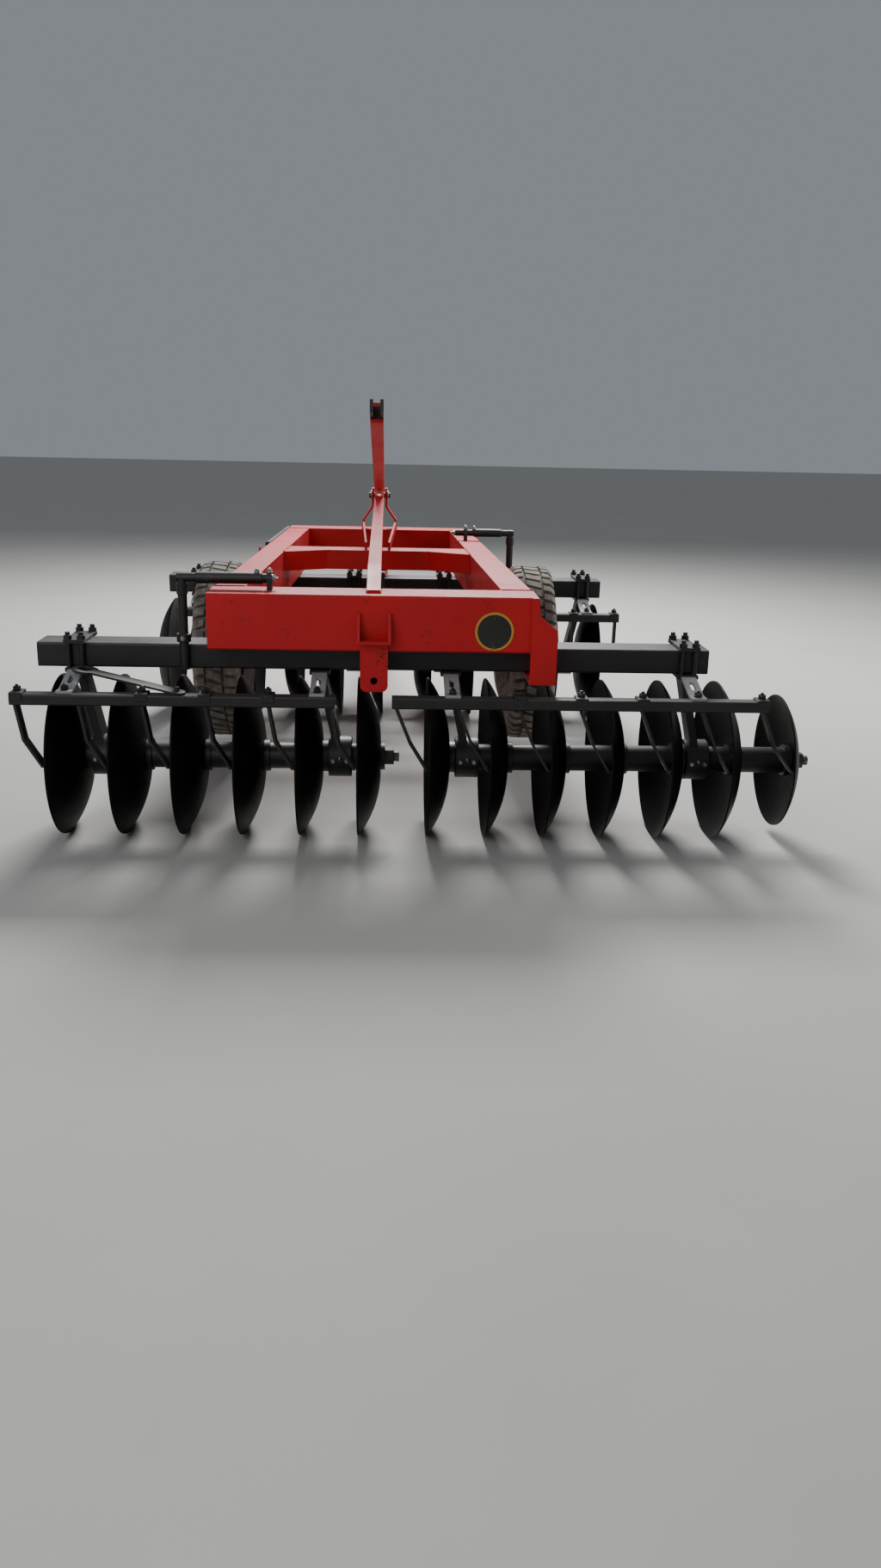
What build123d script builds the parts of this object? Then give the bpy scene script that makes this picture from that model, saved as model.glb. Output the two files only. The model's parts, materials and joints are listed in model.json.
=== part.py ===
"""Offset disc harrow: a red frame on two gang beams, four disc gangs, two lifting wheels and a drawbar.

All sizes are millimetres. X runs to the machine's right, Y to its front and Z up from the ground.
"""

import os
from math import asin, atan2, cos, degrees, hypot, radians, sin, sqrt

from build123d import *

# Discs and gangs
DISC_RADIUS = 305.0
END_DISC_RADIUS = 255.0
DISC_THICKNESS = 6.0
DISC_DISH = 82.0
DISC_FLAT_RADIUS = 62.0
DISC_PITCH = 222.0
GANG_BOLT_RADIUS = 19.0
GANG_BOLT_CLEARANCE = 0.5
SPOOL_RADIUS = 50.0
SPOOL_FLANGE_RADIUS = 60.0
SPOOL_FLANGE_LENGTH = 22.0
END_WASHER_RADIUS = 52.0
END_WASHER_LENGTH = 16.0
END_NUT_RADIUS = 32.0
END_NUT_LENGTH = 34.0
BOLT_TAIL = 20.0
BEARING_RADIUS = 78.0
BEARING_LENGTH = 84.0
RUNNING_FIT = 0.06
AXLE_HEIGHT = DISC_RADIUS

# Gang beams
BEAM_DEPTH = 150.0
BEAM_HEIGHT = 90.0
BEAM_CORNER = 8.0
BEAM_TOP = 745.0
REAR_BEAM_LENGTH = 2480.0
FRONT_BEAM_LENGTH = 2285.0
ROWS_SHORT_OF_FRAME = 870.0

# Hangers that carry the gangs under the beams
CLAMP_WIDTH = 76.0
CLAMP_THICKNESS = 14.0
CLAMP_OVERHANG = 28.0
CLAMP_BOLT_RADIUS = 9.0
CLAMP_NUT_RADIUS = 15.0
CLAMP_NUT_HEIGHT = 15.0
CLAMP_BOLT_INSET = 14.0
CLAMP_BOLT_TAIL = 12.0
HANGER_THICKNESS = 30.0
HANGER_WIDTH = 96.0

# Scrapers
SCRAPER_BAR_SETBACK = 300.0
SCRAPER_BAR_TOP = 600.0
SCRAPER_BAR_HEIGHT = 40.0
SCRAPER_BAR_DEPTH = 60.0
SCRAPER_BAR_CORNER = 6.0
SCRAPER_BAR_MARGIN = 15.0
SCRAPER_THICKNESS = 10.0
SCRAPER_DEPTH = 50.0
SCRAPER_KNEE_REACH = 68.0
SCRAPER_KNEE_RISE = 125.0
SCRAPER_TIP_RISE = 25.0
SCRAPER_CLEARANCE = 12.0
SCRAPER_ARM_WIDTH = 56.0
SCRAPER_ARM_THICKNESS = 10.0
SCRAPER_ARM_LAP = 48.0
ARM_SLOT_LENGTH = 60.0
ARM_SLOT_WIDTH = 16.0
BRACE_FRONT_X = -1039.0
BRACE_BACK_X = -692.0
BRACE_FRONT_RISE = 55.0
BRACE_BACK_RISE = 4.0
BRACE_HEAD_RADIUS = 48.0
BRACE_HOLE_RADIUS = 26.0
BRACE_WIDTH = 56.0
BRACE_THICKNESS = 8.0

# Frame
FRAME_BOTTOM = 750.0
FRAME_HEIGHT = 200.0
FRAME_REAR_WIDTH = 1180.0
FRAME_FRONT_WIDTH = 1010.0
FRAME_REAR_SETBACK = 209.0
FRAME_LENGTH = 2900.0
SIDE_BEAM_WIDTH = 112.0
REAR_CROSS_DEPTH = 200.0
FRONT_CROSS_DEPTH = 180.0
MID_CROSS_DEPTH = 150.0
MID_CROSS_FLARE = 110.0
MID_CROSS_FLARE_LENGTH = 190.0
MID_CROSS_HEIGHT = 90.0
MID_CROSS_SETBACK = 1200.0
TUBE_CORNER = 10.0

# Gang beam pivots and stops
PIVOT_PIN_RADIUS = 22.0
PIVOT_PLATE = 12.0
PIVOT_BRACKET_WIDTH = 96.0
REAR_PLATE_NECK = 64.0
REAR_PLATE_SHOULDER = 116.0
REAR_PLATE_STEP = 6.0
THRUST_WASHER_RADIUS = 46.0
THRUST_WASHER_HEIGHT = 6.0
SOFT_GAP = 0.3
FRONT_UPRIGHT_GAP = 30.0
REAR_PIVOT_X = 613.0
FRONT_PIVOT_X = -500.0
LOCK_TUBE_RADIUS = 17.0
LOCK_TUBE_HEIGHT = 990.0
LOCK_LEG_X = 690.0
LOCK_ARM_END_X = 375.0
FRONT_ARM_INSET = 80.0
STOP_LUG_WIDTH = 50.0
STOP_LUG_THICKNESS = 18.0

# Mast, stay and top link
MAST_PIN_HEIGHT = 1135.0
MAST_PIN_SETBACK = 90.0
MAST_PLATE = 12.0
MAST_GAP = 64.0
MAST_FOOT_SPREAD = 170.0
MAST_PIN_RADIUS = 16.0
MAST_DEPTH = 110.0
MAST_HEAD = 40.0
MAST_NECK = 60.0
MAST_FOOT_HEIGHT = 50.0
MAST_PIN_TAIL = 16.0
STAY_WIDTH = 50.0
STAY_DEPTH = 60.0
STAY_FOOT_SETBACK = 60.0
STAY_EYE_LENGTH = 300.0
STAY_EYE_WIDTH = 22.0
STAY_TAPER = 260.0
STAY_TOE = 12.0
SIDE_FLAT_THICKNESS = 10.0
SIDE_FLAT_HEIGHT = 40.0
FLAT_REAR_SPREAD = 50.0
LINK_WIDTH = 54.0
LINK_DEPTH = 80.0
LINK_LENGTH = 2100.0
LINK_ANGLE = 12.8
LINK_FORK_LENGTH = 120.0
LINK_FORK_DEPTH = 50.0
LINK_FORK_CHEEK = 12.0
LINK_ROOT_LENGTH = 280.0
LINK_ROOT_DEPTH = 60.0
LINK_PIN_RADIUS = 13.0
CHEEK_GAP = 2.0

# Rear hitch
HITCH_PLATE = 16.0
HITCH_WIDTH = 100.0
HITCH_TONGUE_BOTTOM = 606.0
HITCH_HOLE_RADIUS = 13.0
HITCH_GUSSET = 10.0
HITCH_LEDGE = 60.0
HITCH_X = 3.0
HITCH_LEDGE_HEIGHT = 795.0
HITCH_CORNER = 24.0
HITCH_HOLE_RISE = 40.0
HITCH_GUSSET_HEIGHT = 95.0

# Rock shaft, wheels and lift cylinder
ROCK_SHAFT_RADIUS = 44.0
ROCK_SHAFT_HEIGHT = 690.0
ROCK_SHAFT_SETBACK = 1126.0
SHAFT_BLOCK_LENGTH = 60.0
SHAFT_BLOCK_RADIUS = 58.0
WHEEL_ARM_REACH = 550.0
WHEEL_HEIGHT = 530.0
WHEEL_ARM_WIDTH = 90.0
WHEEL_ARM_THICKNESS = 24.0
WHEEL_X = 691.0
TYRE_RADIUS = 395.0
TYRE_WIDTH = 205.0
RIM_RADIUS = 205.0
RIM_WIDTH = 130.0
HUB_RADIUS = 58.0
SPINDLE_RADIUS = 24.0
HUB_LENGTH = 110.0
WEB_THICKNESS = 12.0
RIM_WALL = 14.0
TYRE_SHOULDER = 22.0
TYRE_TUCK = 8.0
TYRE_ARM_GAP = 14.0
LEVER_REACH = 110.0
LEVER_ANGLE = 75.0
LEVER_PLATE = 14.0
LEVER_GAP = 1.0
LEVER_WIDTH = 56.0
CYLINDER_PIN_RADIUS = 12.0
BARREL_RADIUS = 42.0
BARREL_LENGTH = 430.0
ROD_RADIUS = 20.0
CYLINDER_EYE_RADIUS = 28.0
CYLINDER_EYE_WIDTH = 40.0
CYLINDER_CLEARANCE = 13.0
CYLINDER_ANCHOR_REACH = 60.0
EYE_WALL = 10.0
NECK_RADIUS = 18.0
BARREL_SETBACK = 48.0
ROD_LENGTH = 640.0
ROD_EYE_CLEARANCE = 4.5

# Drawbar
DRAWBAR_LENGTH = 1900.0
DRAWBAR_WIDTH = 100.0
DRAWBAR_DEPTH = 120.0
DRAWBAR_PIN_HEIGHT = 800.0
DRAWBAR_PIN_REACH = 70.0
DRAWBAR_PIN_RADIUS = 18.0
DRAWBAR_LUG = 20.0
DRAWBAR_LUG_GAP = 1.0
DRAWBAR_LUG_RADIUS = 46.0
DRAWBAR_NOSE = 240.0
HITCH_EYE_RADIUS = 52.0
HITCH_EYE_BORE = 25.0
HITCH_EYE_THICKNESS = 32.0

# Left and right gang of each row: discs, X of the first disc, and the bays that hold bearings
REAR_GANG_COUNTS = (6, 7)
FRONT_GANG_COUNTS = (6, 5)
REAR_GANG_STARTS = (-1087.0, 285.0)
FRONT_GANG_STARTS = (-1164.0, 201.0)
REAR_BEARING_BAYS = ((0, 4), (0, 4))
FRONT_BEARING_BAYS = ((0, 4), (0, 3))
REAR_DISH_SIDE = -1
FRONT_DISH_SIDE = 1
REAR_BEAM_SHIFT = 13.0
FRONT_BEAM_SHIFT = 43.0
# How far each hanger's clamp stands aside of its bearing, and each scraper's stem of its disc's rim
REAR_HANGER_SKEWS = ((-72.0, -72.0), (-72.0, -72.0))
FRONT_HANGER_SKEWS = ((72.0, 0.0), (0.0, 72.0))
REAR_SCRAPER_REACHES = (90.0, 120.0)
FRONT_SCRAPER_REACHES = (69.0, 69.0)

ROW_SPACING = FRAME_LENGTH - ROWS_SHORT_OF_FRAME
REAR_ROW = -ROW_SPACING / 2
FRONT_ROW = ROW_SPACING / 2
BEAM_BOTTOM = BEAM_TOP - BEAM_HEIGHT
FRAME_TOP = FRAME_BOTTOM + FRAME_HEIGHT
FRAME_REAR = REAR_ROW - FRAME_REAR_SETBACK
FRAME_FRONT = FRAME_REAR + FRAME_LENGTH
MAST_PIN_Y = FRAME_FRONT - MAST_PIN_SETBACK
ROCK_SHAFT_Y = FRAME_FRONT - ROCK_SHAFT_SETBACK
WHEEL_Y = ROCK_SHAFT_Y - WHEEL_ARM_REACH
CYLINDER_ANCHOR_HEIGHT = BEAM_TOP + BARREL_RADIUS + CYLINDER_CLEARANCE

# The drawbar lies down until the rim of its eye rests on the ground
EYE_REACH = DRAWBAR_LENGTH + HITCH_EYE_RADIUS
EYE_DIAGONAL = hypot(EYE_REACH, HITCH_EYE_THICKNESS / 2)
DRAWBAR_SLOPE = degrees(
    asin(DRAWBAR_PIN_HEIGHT / EYE_DIAGONAL) - atan2(HITCH_EYE_THICKNESS / 2, EYE_REACH)
)
DRAWBAR_PIN_Y = FRAME_FRONT + DRAWBAR_PIN_REACH

# Reach of the machine each way from the middle of its frame
RIGHT_END = (
    REAR_GANG_STARTS[1]
    + (REAR_GANG_COUNTS[1] - 1) * DISC_PITCH
    + DISC_THICKNESS
    + END_WASHER_LENGTH
    + END_NUT_LENGTH
    + BOLT_TAIL
)
LEFT_END = REAR_GANG_STARTS[0] - DISC_DISH - REAR_SCRAPER_REACHES[0] - SCRAPER_BAR_MARGIN
REAR_END = REAR_ROW - SCRAPER_BAR_SETBACK
FRONT_END = (
    DRAWBAR_PIN_Y
    + EYE_REACH * cos(radians(DRAWBAR_SLOPE))
    + HITCH_EYE_THICKNESS / 2 * sin(radians(DRAWBAR_SLOPE))
)
X0 = -(RIGHT_END + LEFT_END) / 2
Y0 = -(FRONT_END + REAR_END) / 2


def at(x, y, z=0.0):
    """A point given from the middle of the frame, in the part's own frame."""
    return (X0 + x, Y0 + y, z)


def side_plane(x, y, z):
    """A plane facing +X whose own x runs along +Y and whose own y runs up."""
    return Plane(origin=at(x, y, z), x_dir=(0, 1, 0), z_dir=(1, 0, 0))


def back_plane(x, y, z):
    """A plane facing -Y whose own x runs along +X and whose own y runs up."""
    return Plane(origin=at(x, y, z), x_dir=(1, 0, 0), z_dir=(0, -1, 0))


def frame_half_width(y):
    """Half the frame's outer width at y, as it narrows to the front."""
    taper = (FRAME_REAR_WIDTH - FRAME_FRONT_WIDTH) / 2 / FRAME_LENGTH
    return FRAME_REAR_WIDTH / 2 - taper * (y - FRAME_REAR)


def disc_places(start, count):
    """The X of each disc's hollow face along one gang."""
    return [start + k * DISC_PITCH for k in range(count)]


def bearing_places(start, bays, side):
    """The X of each bearing, midway between one disc's back and the next disc's rim."""
    free = (DISC_PITCH - DISC_DISH - DISC_THICKNESS) / 2
    if side < 0:
        return [start + bay * DISC_PITCH + DISC_THICKNESS + free for bay in bays]
    return [start + bay * DISC_PITCH + DISC_DISH + free for bay in bays]


def dish_depth(height, radius):
    """How deep a disc of this radius is hollowed at a height from its axle."""
    rim = DISC_DISH * (radius / DISC_RADIUS) ** 2
    span = radius - DISC_FLAT_RADIUS
    bend = (rim**2 + span**2) / (2 * rim)
    return bend - sqrt(bend**2 - (min(height, radius) - DISC_FLAT_RADIUS) ** 2)


def disc_radius(row, gang_side, number, count):
    """A disc's radius: the outermost one at the rear right is smaller."""
    is_end = row == "rear" and gang_side == "right" and number == count - 1
    return END_DISC_RADIUS if is_end else DISC_RADIUS


os.makedirs("parts", exist_ok=True)

# Each row: name, row's Y, side its discs are hollow on, gang starts, gang counts, bearing bays,
# hanger skews, scraper reaches, beam length, beam's shift along X
ROWS = [
    ("rear", REAR_ROW, REAR_DISH_SIDE, REAR_GANG_STARTS, REAR_GANG_COUNTS, REAR_BEARING_BAYS,
     REAR_HANGER_SKEWS, REAR_SCRAPER_REACHES, REAR_BEAM_LENGTH, REAR_BEAM_SHIFT),
    ("front", FRONT_ROW, FRONT_DISH_SIDE, FRONT_GANG_STARTS, FRONT_GANG_COUNTS, FRONT_BEARING_BAYS,
     FRONT_HANGER_SKEWS, FRONT_SCRAPER_REACHES, FRONT_BEAM_LENGTH, FRONT_BEAM_SHIFT),
]
GANG_SIDES = ("left", "right")
PIVOTS = {"rear": REAR_PIVOT_X, "front": FRONT_PIVOT_X}

for row, row_y, dish, starts, counts, bays, skews, reaches, beam_length, beam_shift in ROWS:
    for gang_side, start, count, gang_bays in zip(GANG_SIDES, starts, counts, bays):
        places = disc_places(start, count)
        axle = Axis(at(0, row_y, AXLE_HEIGHT), (1, 0, 0))

        # Dished discs with a flat centre
        with BuildPart() as discs:
            for k, x in enumerate(places):
                radius = disc_radius(row, gang_side, k, count)
                rim = dish * dish_depth(radius, radius)
                back = -dish * DISC_THICKNESS
                hole = GANG_BOLT_RADIUS + GANG_BOLT_CLEARANCE
                with BuildSketch(back_plane(x, row_y, AXLE_HEIGHT)):
                    with BuildLine():
                        Line((0, hole), (0, DISC_FLAT_RADIUS))
                        TangentArc((0, DISC_FLAT_RADIUS), (rim, radius), tangent=(0, 1))
                        Line((rim, radius), (rim + back, radius))
                        TangentArc((back, DISC_FLAT_RADIUS), (rim + back, radius), tangent=(0, 1))
                        Line((back, DISC_FLAT_RADIUS), (back, hole))
                        Line((back, hole), (0, hole))
                    make_face()
                revolve(axis=axle)
        discs.part.label = f"{row}_{gang_side}_discs"
        export_step(discs.part, f"parts/{row}_{gang_side}_discs.step")

        # Spools between the discs, the through bolt, and its washers and nuts
        low = min(0, -dish * DISC_THICKNESS)
        high = max(0, -dish * DISC_THICKNESS)
        with BuildPart() as spools:
            for x in places[:-1]:
                span = DISC_PITCH - DISC_THICKNESS
                with BuildSketch(side_plane(x + high, row_y, AXLE_HEIGHT)):
                    Circle(SPOOL_RADIUS)
                    Circle(GANG_BOLT_RADIUS + GANG_BOLT_CLEARANCE, mode=Mode.SUBTRACT)
                extrude(amount=span)
                for flange_x in (x + high, x + high + span - SPOOL_FLANGE_LENGTH):
                    with BuildSketch(side_plane(flange_x, row_y, AXLE_HEIGHT)):
                        Circle(SPOOL_FLANGE_RADIUS)
                        Circle(GANG_BOLT_RADIUS + GANG_BOLT_CLEARANCE, mode=Mode.SUBTRACT)
                    extrude(amount=SPOOL_FLANGE_LENGTH)
        end_length = END_WASHER_LENGTH + END_NUT_LENGTH + BOLT_TAIL
        bolt_start = places[0] + low
        bolt_end = places[-1] + high
        with BuildPart() as gang_shaft:
            add(spools.part)
            with BuildSketch(side_plane(bolt_start - end_length, row_y, AXLE_HEIGHT)):
                Circle(GANG_BOLT_RADIUS)
            extrude(amount=bolt_end - bolt_start + 2 * end_length)
            # Each end: X of the washer's outer face toward the discs, direction outward
            for face_x, outward in ((bolt_start, -1), (bolt_end, 1)):
                with BuildSketch(side_plane(face_x, row_y, AXLE_HEIGHT)):
                    Circle(END_WASHER_RADIUS)
                extrude(amount=outward * END_WASHER_LENGTH)
                nut_x = face_x + outward * END_WASHER_LENGTH
                with BuildSketch(side_plane(nut_x, row_y, AXLE_HEIGHT)):
                    RegularPolygon(END_NUT_RADIUS, 6)
                extrude(amount=outward * END_NUT_LENGTH)
        gang_shaft.part.label = f"{row}_{gang_side}_gang_shaft"
        export_step(gang_shaft.part, f"parts/{row}_{gang_side}_gang_shaft.step")

    # Beam with the bore of its pivot
    with BuildPart() as beam:
        with BuildSketch(side_plane(beam_shift - beam_length / 2, row_y, BEAM_BOTTOM + BEAM_HEIGHT / 2)):
            RectangleRounded(BEAM_DEPTH, BEAM_HEIGHT, BEAM_CORNER)
        extrude(amount=beam_length)
        with BuildSketch(Plane(at(PIVOTS[row], row_y, BEAM_BOTTOM))):
            Circle(PIVOT_PIN_RADIUS + RUNNING_FIT)
        extrude(amount=BEAM_HEIGHT, mode=Mode.SUBTRACT)
    beam.part.label = f"{row}_gang_beam"
    export_step(beam.part, f"parts/{row}_gang_beam.step")

    # Hangers: a bearing, its slanting upright, and a clamp around the beam
    hanger_places = []
    for start, gang_bays, gang_skews in zip(starts, bays, skews):
        for x, skew in zip(bearing_places(start, gang_bays, dish), gang_skews):
            hanger_places.append((x, x + skew))
    outer_reach = BEAM_DEPTH / 2 + CLAMP_OVERHANG
    plate_z = BEAM_BOTTOM - CLAMP_THICKNESS
    with BuildPart() as hangers:
        for number, (x, clamp_x) in enumerate(hanger_places):
            under_frame = row == "rear" and number in (1, 2)
            half = HANGER_THICKNESS / 2
            with BuildSketch(side_plane(x - BEARING_LENGTH / 2, row_y, AXLE_HEIGHT)):
                Circle(BEARING_RADIUS)
            extrude(amount=BEARING_LENGTH)
            with BuildSketch(back_plane(0, row_y + HANGER_WIDTH / 2, 0)):
                with BuildLine():
                    Polyline(
                        (x - half, AXLE_HEIGHT),
                        (x + half, AXLE_HEIGHT),
                        (clamp_x + half, plate_z),
                        (clamp_x - half, plate_z),
                        close=True,
                    )
                make_face()
            extrude(amount=HANGER_WIDTH)
            with BuildSketch(side_plane(x - BEARING_LENGTH / 2, row_y, AXLE_HEIGHT)):
                Circle(SPOOL_RADIUS + RUNNING_FIT)
            extrude(amount=BEARING_LENGTH, mode=Mode.SUBTRACT)
            with BuildSketch(Plane(at(clamp_x, row_y, plate_z))):
                Rectangle(CLAMP_WIDTH, 2 * outer_reach)
            extrude(amount=CLAMP_THICKNESS)
            if not under_frame:
                with BuildSketch(Plane(at(clamp_x, row_y, BEAM_TOP))):
                    Rectangle(CLAMP_WIDTH, 2 * outer_reach)
                extrude(amount=CLAMP_THICKNESS)
                bolt_x = CLAMP_WIDTH / 2 - CLAMP_BOLT_INSET
                bolt_y = outer_reach - CLAMP_OVERHANG / 2
                for side_x in (-bolt_x, bolt_x):
                    for side_y in (-bolt_y, bolt_y):
                        bolt_place = at(clamp_x + side_x, row_y + side_y)
                        with BuildSketch(Plane(bolt_place).offset(BEAM_BOTTOM)):
                            Circle(CLAMP_BOLT_RADIUS)
                        extrude(amount=BEAM_HEIGHT + CLAMP_THICKNESS + CLAMP_NUT_HEIGHT + CLAMP_BOLT_TAIL)
                        with BuildSketch(Plane(bolt_place).offset(BEAM_TOP + CLAMP_THICKNESS)):
                            RegularPolygon(CLAMP_NUT_RADIUS, 6)
                        extrude(amount=CLAMP_NUT_HEIGHT)
    hangers.part.label = f"{row}_hangers"
    export_step(hangers.part, f"parts/{row}_hangers.step")

    # Scraper bars: a flat tube behind each gang
    bar_y = row_y - SCRAPER_BAR_SETBACK
    with BuildPart() as bars:
        for start, count, reach in zip(starts, counts, reaches):
            first_stem = start + dish * (DISC_DISH + reach)
            bar_length = (count - 1) * DISC_PITCH + 2 * SCRAPER_BAR_MARGIN
            bar_start = first_stem - SCRAPER_BAR_MARGIN
            bar_z = SCRAPER_BAR_TOP - SCRAPER_BAR_HEIGHT / 2
            with BuildSketch(side_plane(bar_start, bar_y + SCRAPER_BAR_DEPTH / 2, bar_z)):
                RectangleRounded(SCRAPER_BAR_DEPTH, SCRAPER_BAR_HEIGHT, SCRAPER_BAR_CORNER)
            extrude(amount=bar_length)
    bars.part.label = f"{row}_scraper_bars"
    export_step(bars.part, f"parts/{row}_scraper_bars.step")

    # Scrapers: strips on edge, each leaning in from the bar to a foot that slants into its disc's hollow
    blade_y = SCRAPER_BAR_SETBACK - SCRAPER_BAR_DEPTH
    tip_height = hypot(blade_y + SCRAPER_DEPTH, SCRAPER_TIP_RISE)
    stem_top = SCRAPER_BAR_TOP - SCRAPER_BAR_HEIGHT - AXLE_HEIGHT
    half = dish * SCRAPER_THICKNESS / 2
    with BuildPart() as scrapers:
        for gang_side, start, count, reach in zip(GANG_SIDES, starts, counts, reaches):
            for k, x in enumerate(disc_places(start, count)):
                radius = disc_radius(row, gang_side, k, count)
                stem_x = x + dish * (DISC_DISH + reach)
                knee_x = x + dish * (DISC_DISH + SCRAPER_KNEE_REACH)
                tip_x = x + dish * (dish_depth(tip_height, radius) + SCRAPER_CLEARANCE)
                with BuildSketch(back_plane(0, row_y - blade_y, AXLE_HEIGHT)):
                    with BuildLine():
                        Polyline(
                            (stem_x + half, stem_top),
                            (stem_x - half, stem_top),
                            (knee_x - half, SCRAPER_KNEE_RISE),
                            (tip_x, SCRAPER_TIP_RISE),
                            (tip_x + 2 * half, SCRAPER_TIP_RISE),
                            (knee_x + half, SCRAPER_KNEE_RISE),
                            close=True,
                        )
                    make_face()
                extrude(amount=SCRAPER_DEPTH)
    scrapers.part.label = f"{row}_scrapers"
    export_step(scrapers.part, f"parts/{row}_scrapers.step")

    # Slotted arms: from each clamp down to the top of the scraper bar
    with BuildPart() as arms:
        for x, clamp_x in hanger_places:
            with BuildSketch(side_plane(clamp_x - SCRAPER_ARM_WIDTH / 2, row_y, 0)):
                with BuildLine():
                    Polyline(
                        (-outer_reach, plate_z),
                        (-outer_reach, plate_z + SCRAPER_ARM_THICKNESS),
                        (-blade_y, SCRAPER_BAR_TOP + SCRAPER_ARM_THICKNESS),
                        (-blade_y - SCRAPER_ARM_LAP, SCRAPER_BAR_TOP + SCRAPER_ARM_THICKNESS),
                        (-blade_y - SCRAPER_ARM_LAP, SCRAPER_BAR_TOP),
                        (-blade_y, SCRAPER_BAR_TOP),
                        close=True,
                    )
                make_face()
            extrude(amount=SCRAPER_ARM_WIDTH)
            slot_y = -(outer_reach + blade_y) / 2
            with BuildSketch(Plane(at(clamp_x, row_y + slot_y, SCRAPER_BAR_TOP))):
                SlotOverall(ARM_SLOT_LENGTH, ARM_SLOT_WIDTH, rotation=90)
            extrude(amount=plate_z + SCRAPER_ARM_THICKNESS - SCRAPER_BAR_TOP, mode=Mode.SUBTRACT)
    arms.part.label = f"{row}_scraper_arms"
    export_step(arms.part, f"parts/{row}_scraper_arms.step")

# Red frame: rear beam, two tapering side beams, middle and front crossbeams
with BuildPart() as rear_beam:
    with BuildSketch(Plane(at(0, FRAME_REAR + REAR_CROSS_DEPTH / 2, FRAME_BOTTOM))):
        Rectangle(FRAME_REAR_WIDTH, REAR_CROSS_DEPTH)
    extrude(amount=FRAME_HEIGHT)
    chamfer(rear_beam.edges().filter_by(Axis.X), TUBE_CORNER / 2)
rear_beam.part.label = "rear_beam"
export_step(rear_beam.part, "parts/rear_beam.step")

SIDE_REAR = FRAME_REAR + REAR_CROSS_DEPTH
SIDE_FRONT = FRAME_FRONT - FRONT_CROSS_DEPTH
for gang_side, sign in (("left", -1), ("right", 1)):
    with BuildPart() as side_beam:
        with BuildSketch(Plane(at(0, 0, FRAME_BOTTOM))):
            with BuildLine():
                Polyline(
                    (sign * frame_half_width(SIDE_REAR), SIDE_REAR),
                    (sign * frame_half_width(SIDE_FRONT), SIDE_FRONT),
                    (sign * (frame_half_width(SIDE_FRONT) - SIDE_BEAM_WIDTH), SIDE_FRONT),
                    (sign * (frame_half_width(SIDE_REAR) - SIDE_BEAM_WIDTH), SIDE_REAR),
                    close=True,
                )
            make_face()
        extrude(amount=FRAME_HEIGHT)
    side_beam.part.label = f"{gang_side}_side_beam"
    export_step(side_beam.part, f"parts/{gang_side}_side_beam.step")

with BuildPart() as front_beam:
    with BuildSketch(Plane(at(0, FRAME_FRONT - FRONT_CROSS_DEPTH / 2, FRAME_BOTTOM))):
        Rectangle(2 * frame_half_width(SIDE_FRONT), FRONT_CROSS_DEPTH)
    extrude(amount=FRAME_HEIGHT)
front_beam.part.label = "front_crossbeam"
export_step(front_beam.part, "parts/front_crossbeam.step")

MID_REAR = FRAME_FRONT - MID_CROSS_SETBACK - MID_CROSS_DEPTH
MID_FRONT = MID_REAR + MID_CROSS_DEPTH
with BuildPart() as mid_beam:
    with BuildSketch(Plane(at(0, 0, FRAME_TOP - MID_CROSS_HEIGHT))):
        with BuildLine():
            flare_y = MID_REAR - MID_CROSS_FLARE
            front_x = frame_half_width(MID_FRONT) - SIDE_BEAM_WIDTH
            rear_x = frame_half_width(flare_y) - SIDE_BEAM_WIDTH
            kink_x = frame_half_width(MID_REAR) - SIDE_BEAM_WIDTH - MID_CROSS_FLARE_LENGTH
            Polyline(
                (-front_x, MID_FRONT),
                (front_x, MID_FRONT),
                (rear_x, flare_y),
                (kink_x, MID_REAR),
                (-kink_x, MID_REAR),
                (-rear_x, flare_y),
                close=True,
            )
        make_face()
    extrude(amount=MID_CROSS_HEIGHT)
mid_beam.part.label = "middle_crossbeam"
export_step(mid_beam.part, "parts/middle_crossbeam.step")

# Mast: two flared plates on the front crossbeam, with a pin through their tops
MAST_INNER = MAST_GAP / 2
MAST_FOOT = MAST_FOOT_SPREAD / 2
with BuildPart() as mast:
    for sign in (-1, 1):
        with BuildSketch(back_plane(0, MAST_PIN_Y - MAST_DEPTH / 2, 0)):
            with BuildLine():
                Polyline(
                    (sign * MAST_INNER, MAST_PIN_HEIGHT + MAST_HEAD),
                    (sign * (MAST_INNER + MAST_PLATE), MAST_PIN_HEIGHT + MAST_HEAD),
                    (sign * (MAST_INNER + MAST_PLATE), MAST_PIN_HEIGHT - MAST_NECK),
                    (sign * (MAST_FOOT + MAST_PLATE), FRAME_TOP + MAST_FOOT_HEIGHT),
                    (sign * (MAST_FOOT + MAST_PLATE), FRAME_TOP),
                    (sign * MAST_FOOT, FRAME_TOP),
                    (sign * MAST_FOOT, FRAME_TOP + MAST_FOOT_HEIGHT),
                    (sign * MAST_INNER, MAST_PIN_HEIGHT - MAST_NECK),
                    close=True,
                )
            make_face()
        extrude(amount=-MAST_DEPTH)
    with BuildSketch(side_plane(-MAST_FOOT, MAST_PIN_Y, MAST_PIN_HEIGHT)):
        Circle(MAST_PIN_RADIUS)
    extrude(amount=2 * MAST_FOOT, mode=Mode.SUBTRACT)
mast.part.label = "mast_plates"
export_step(mast.part, "parts/mast_plates.step")

PIN_REACH = MAST_INNER + MAST_PLATE + MAST_PIN_TAIL
with BuildPart() as mast_pin:
    with BuildSketch(side_plane(-PIN_REACH, MAST_PIN_Y, MAST_PIN_HEIGHT)):
        Circle(MAST_PIN_RADIUS)
    extrude(amount=2 * PIN_REACH)
mast_pin.part.label = "mast_pin"
export_step(mast_pin.part, "parts/mast_pin.step")

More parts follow.
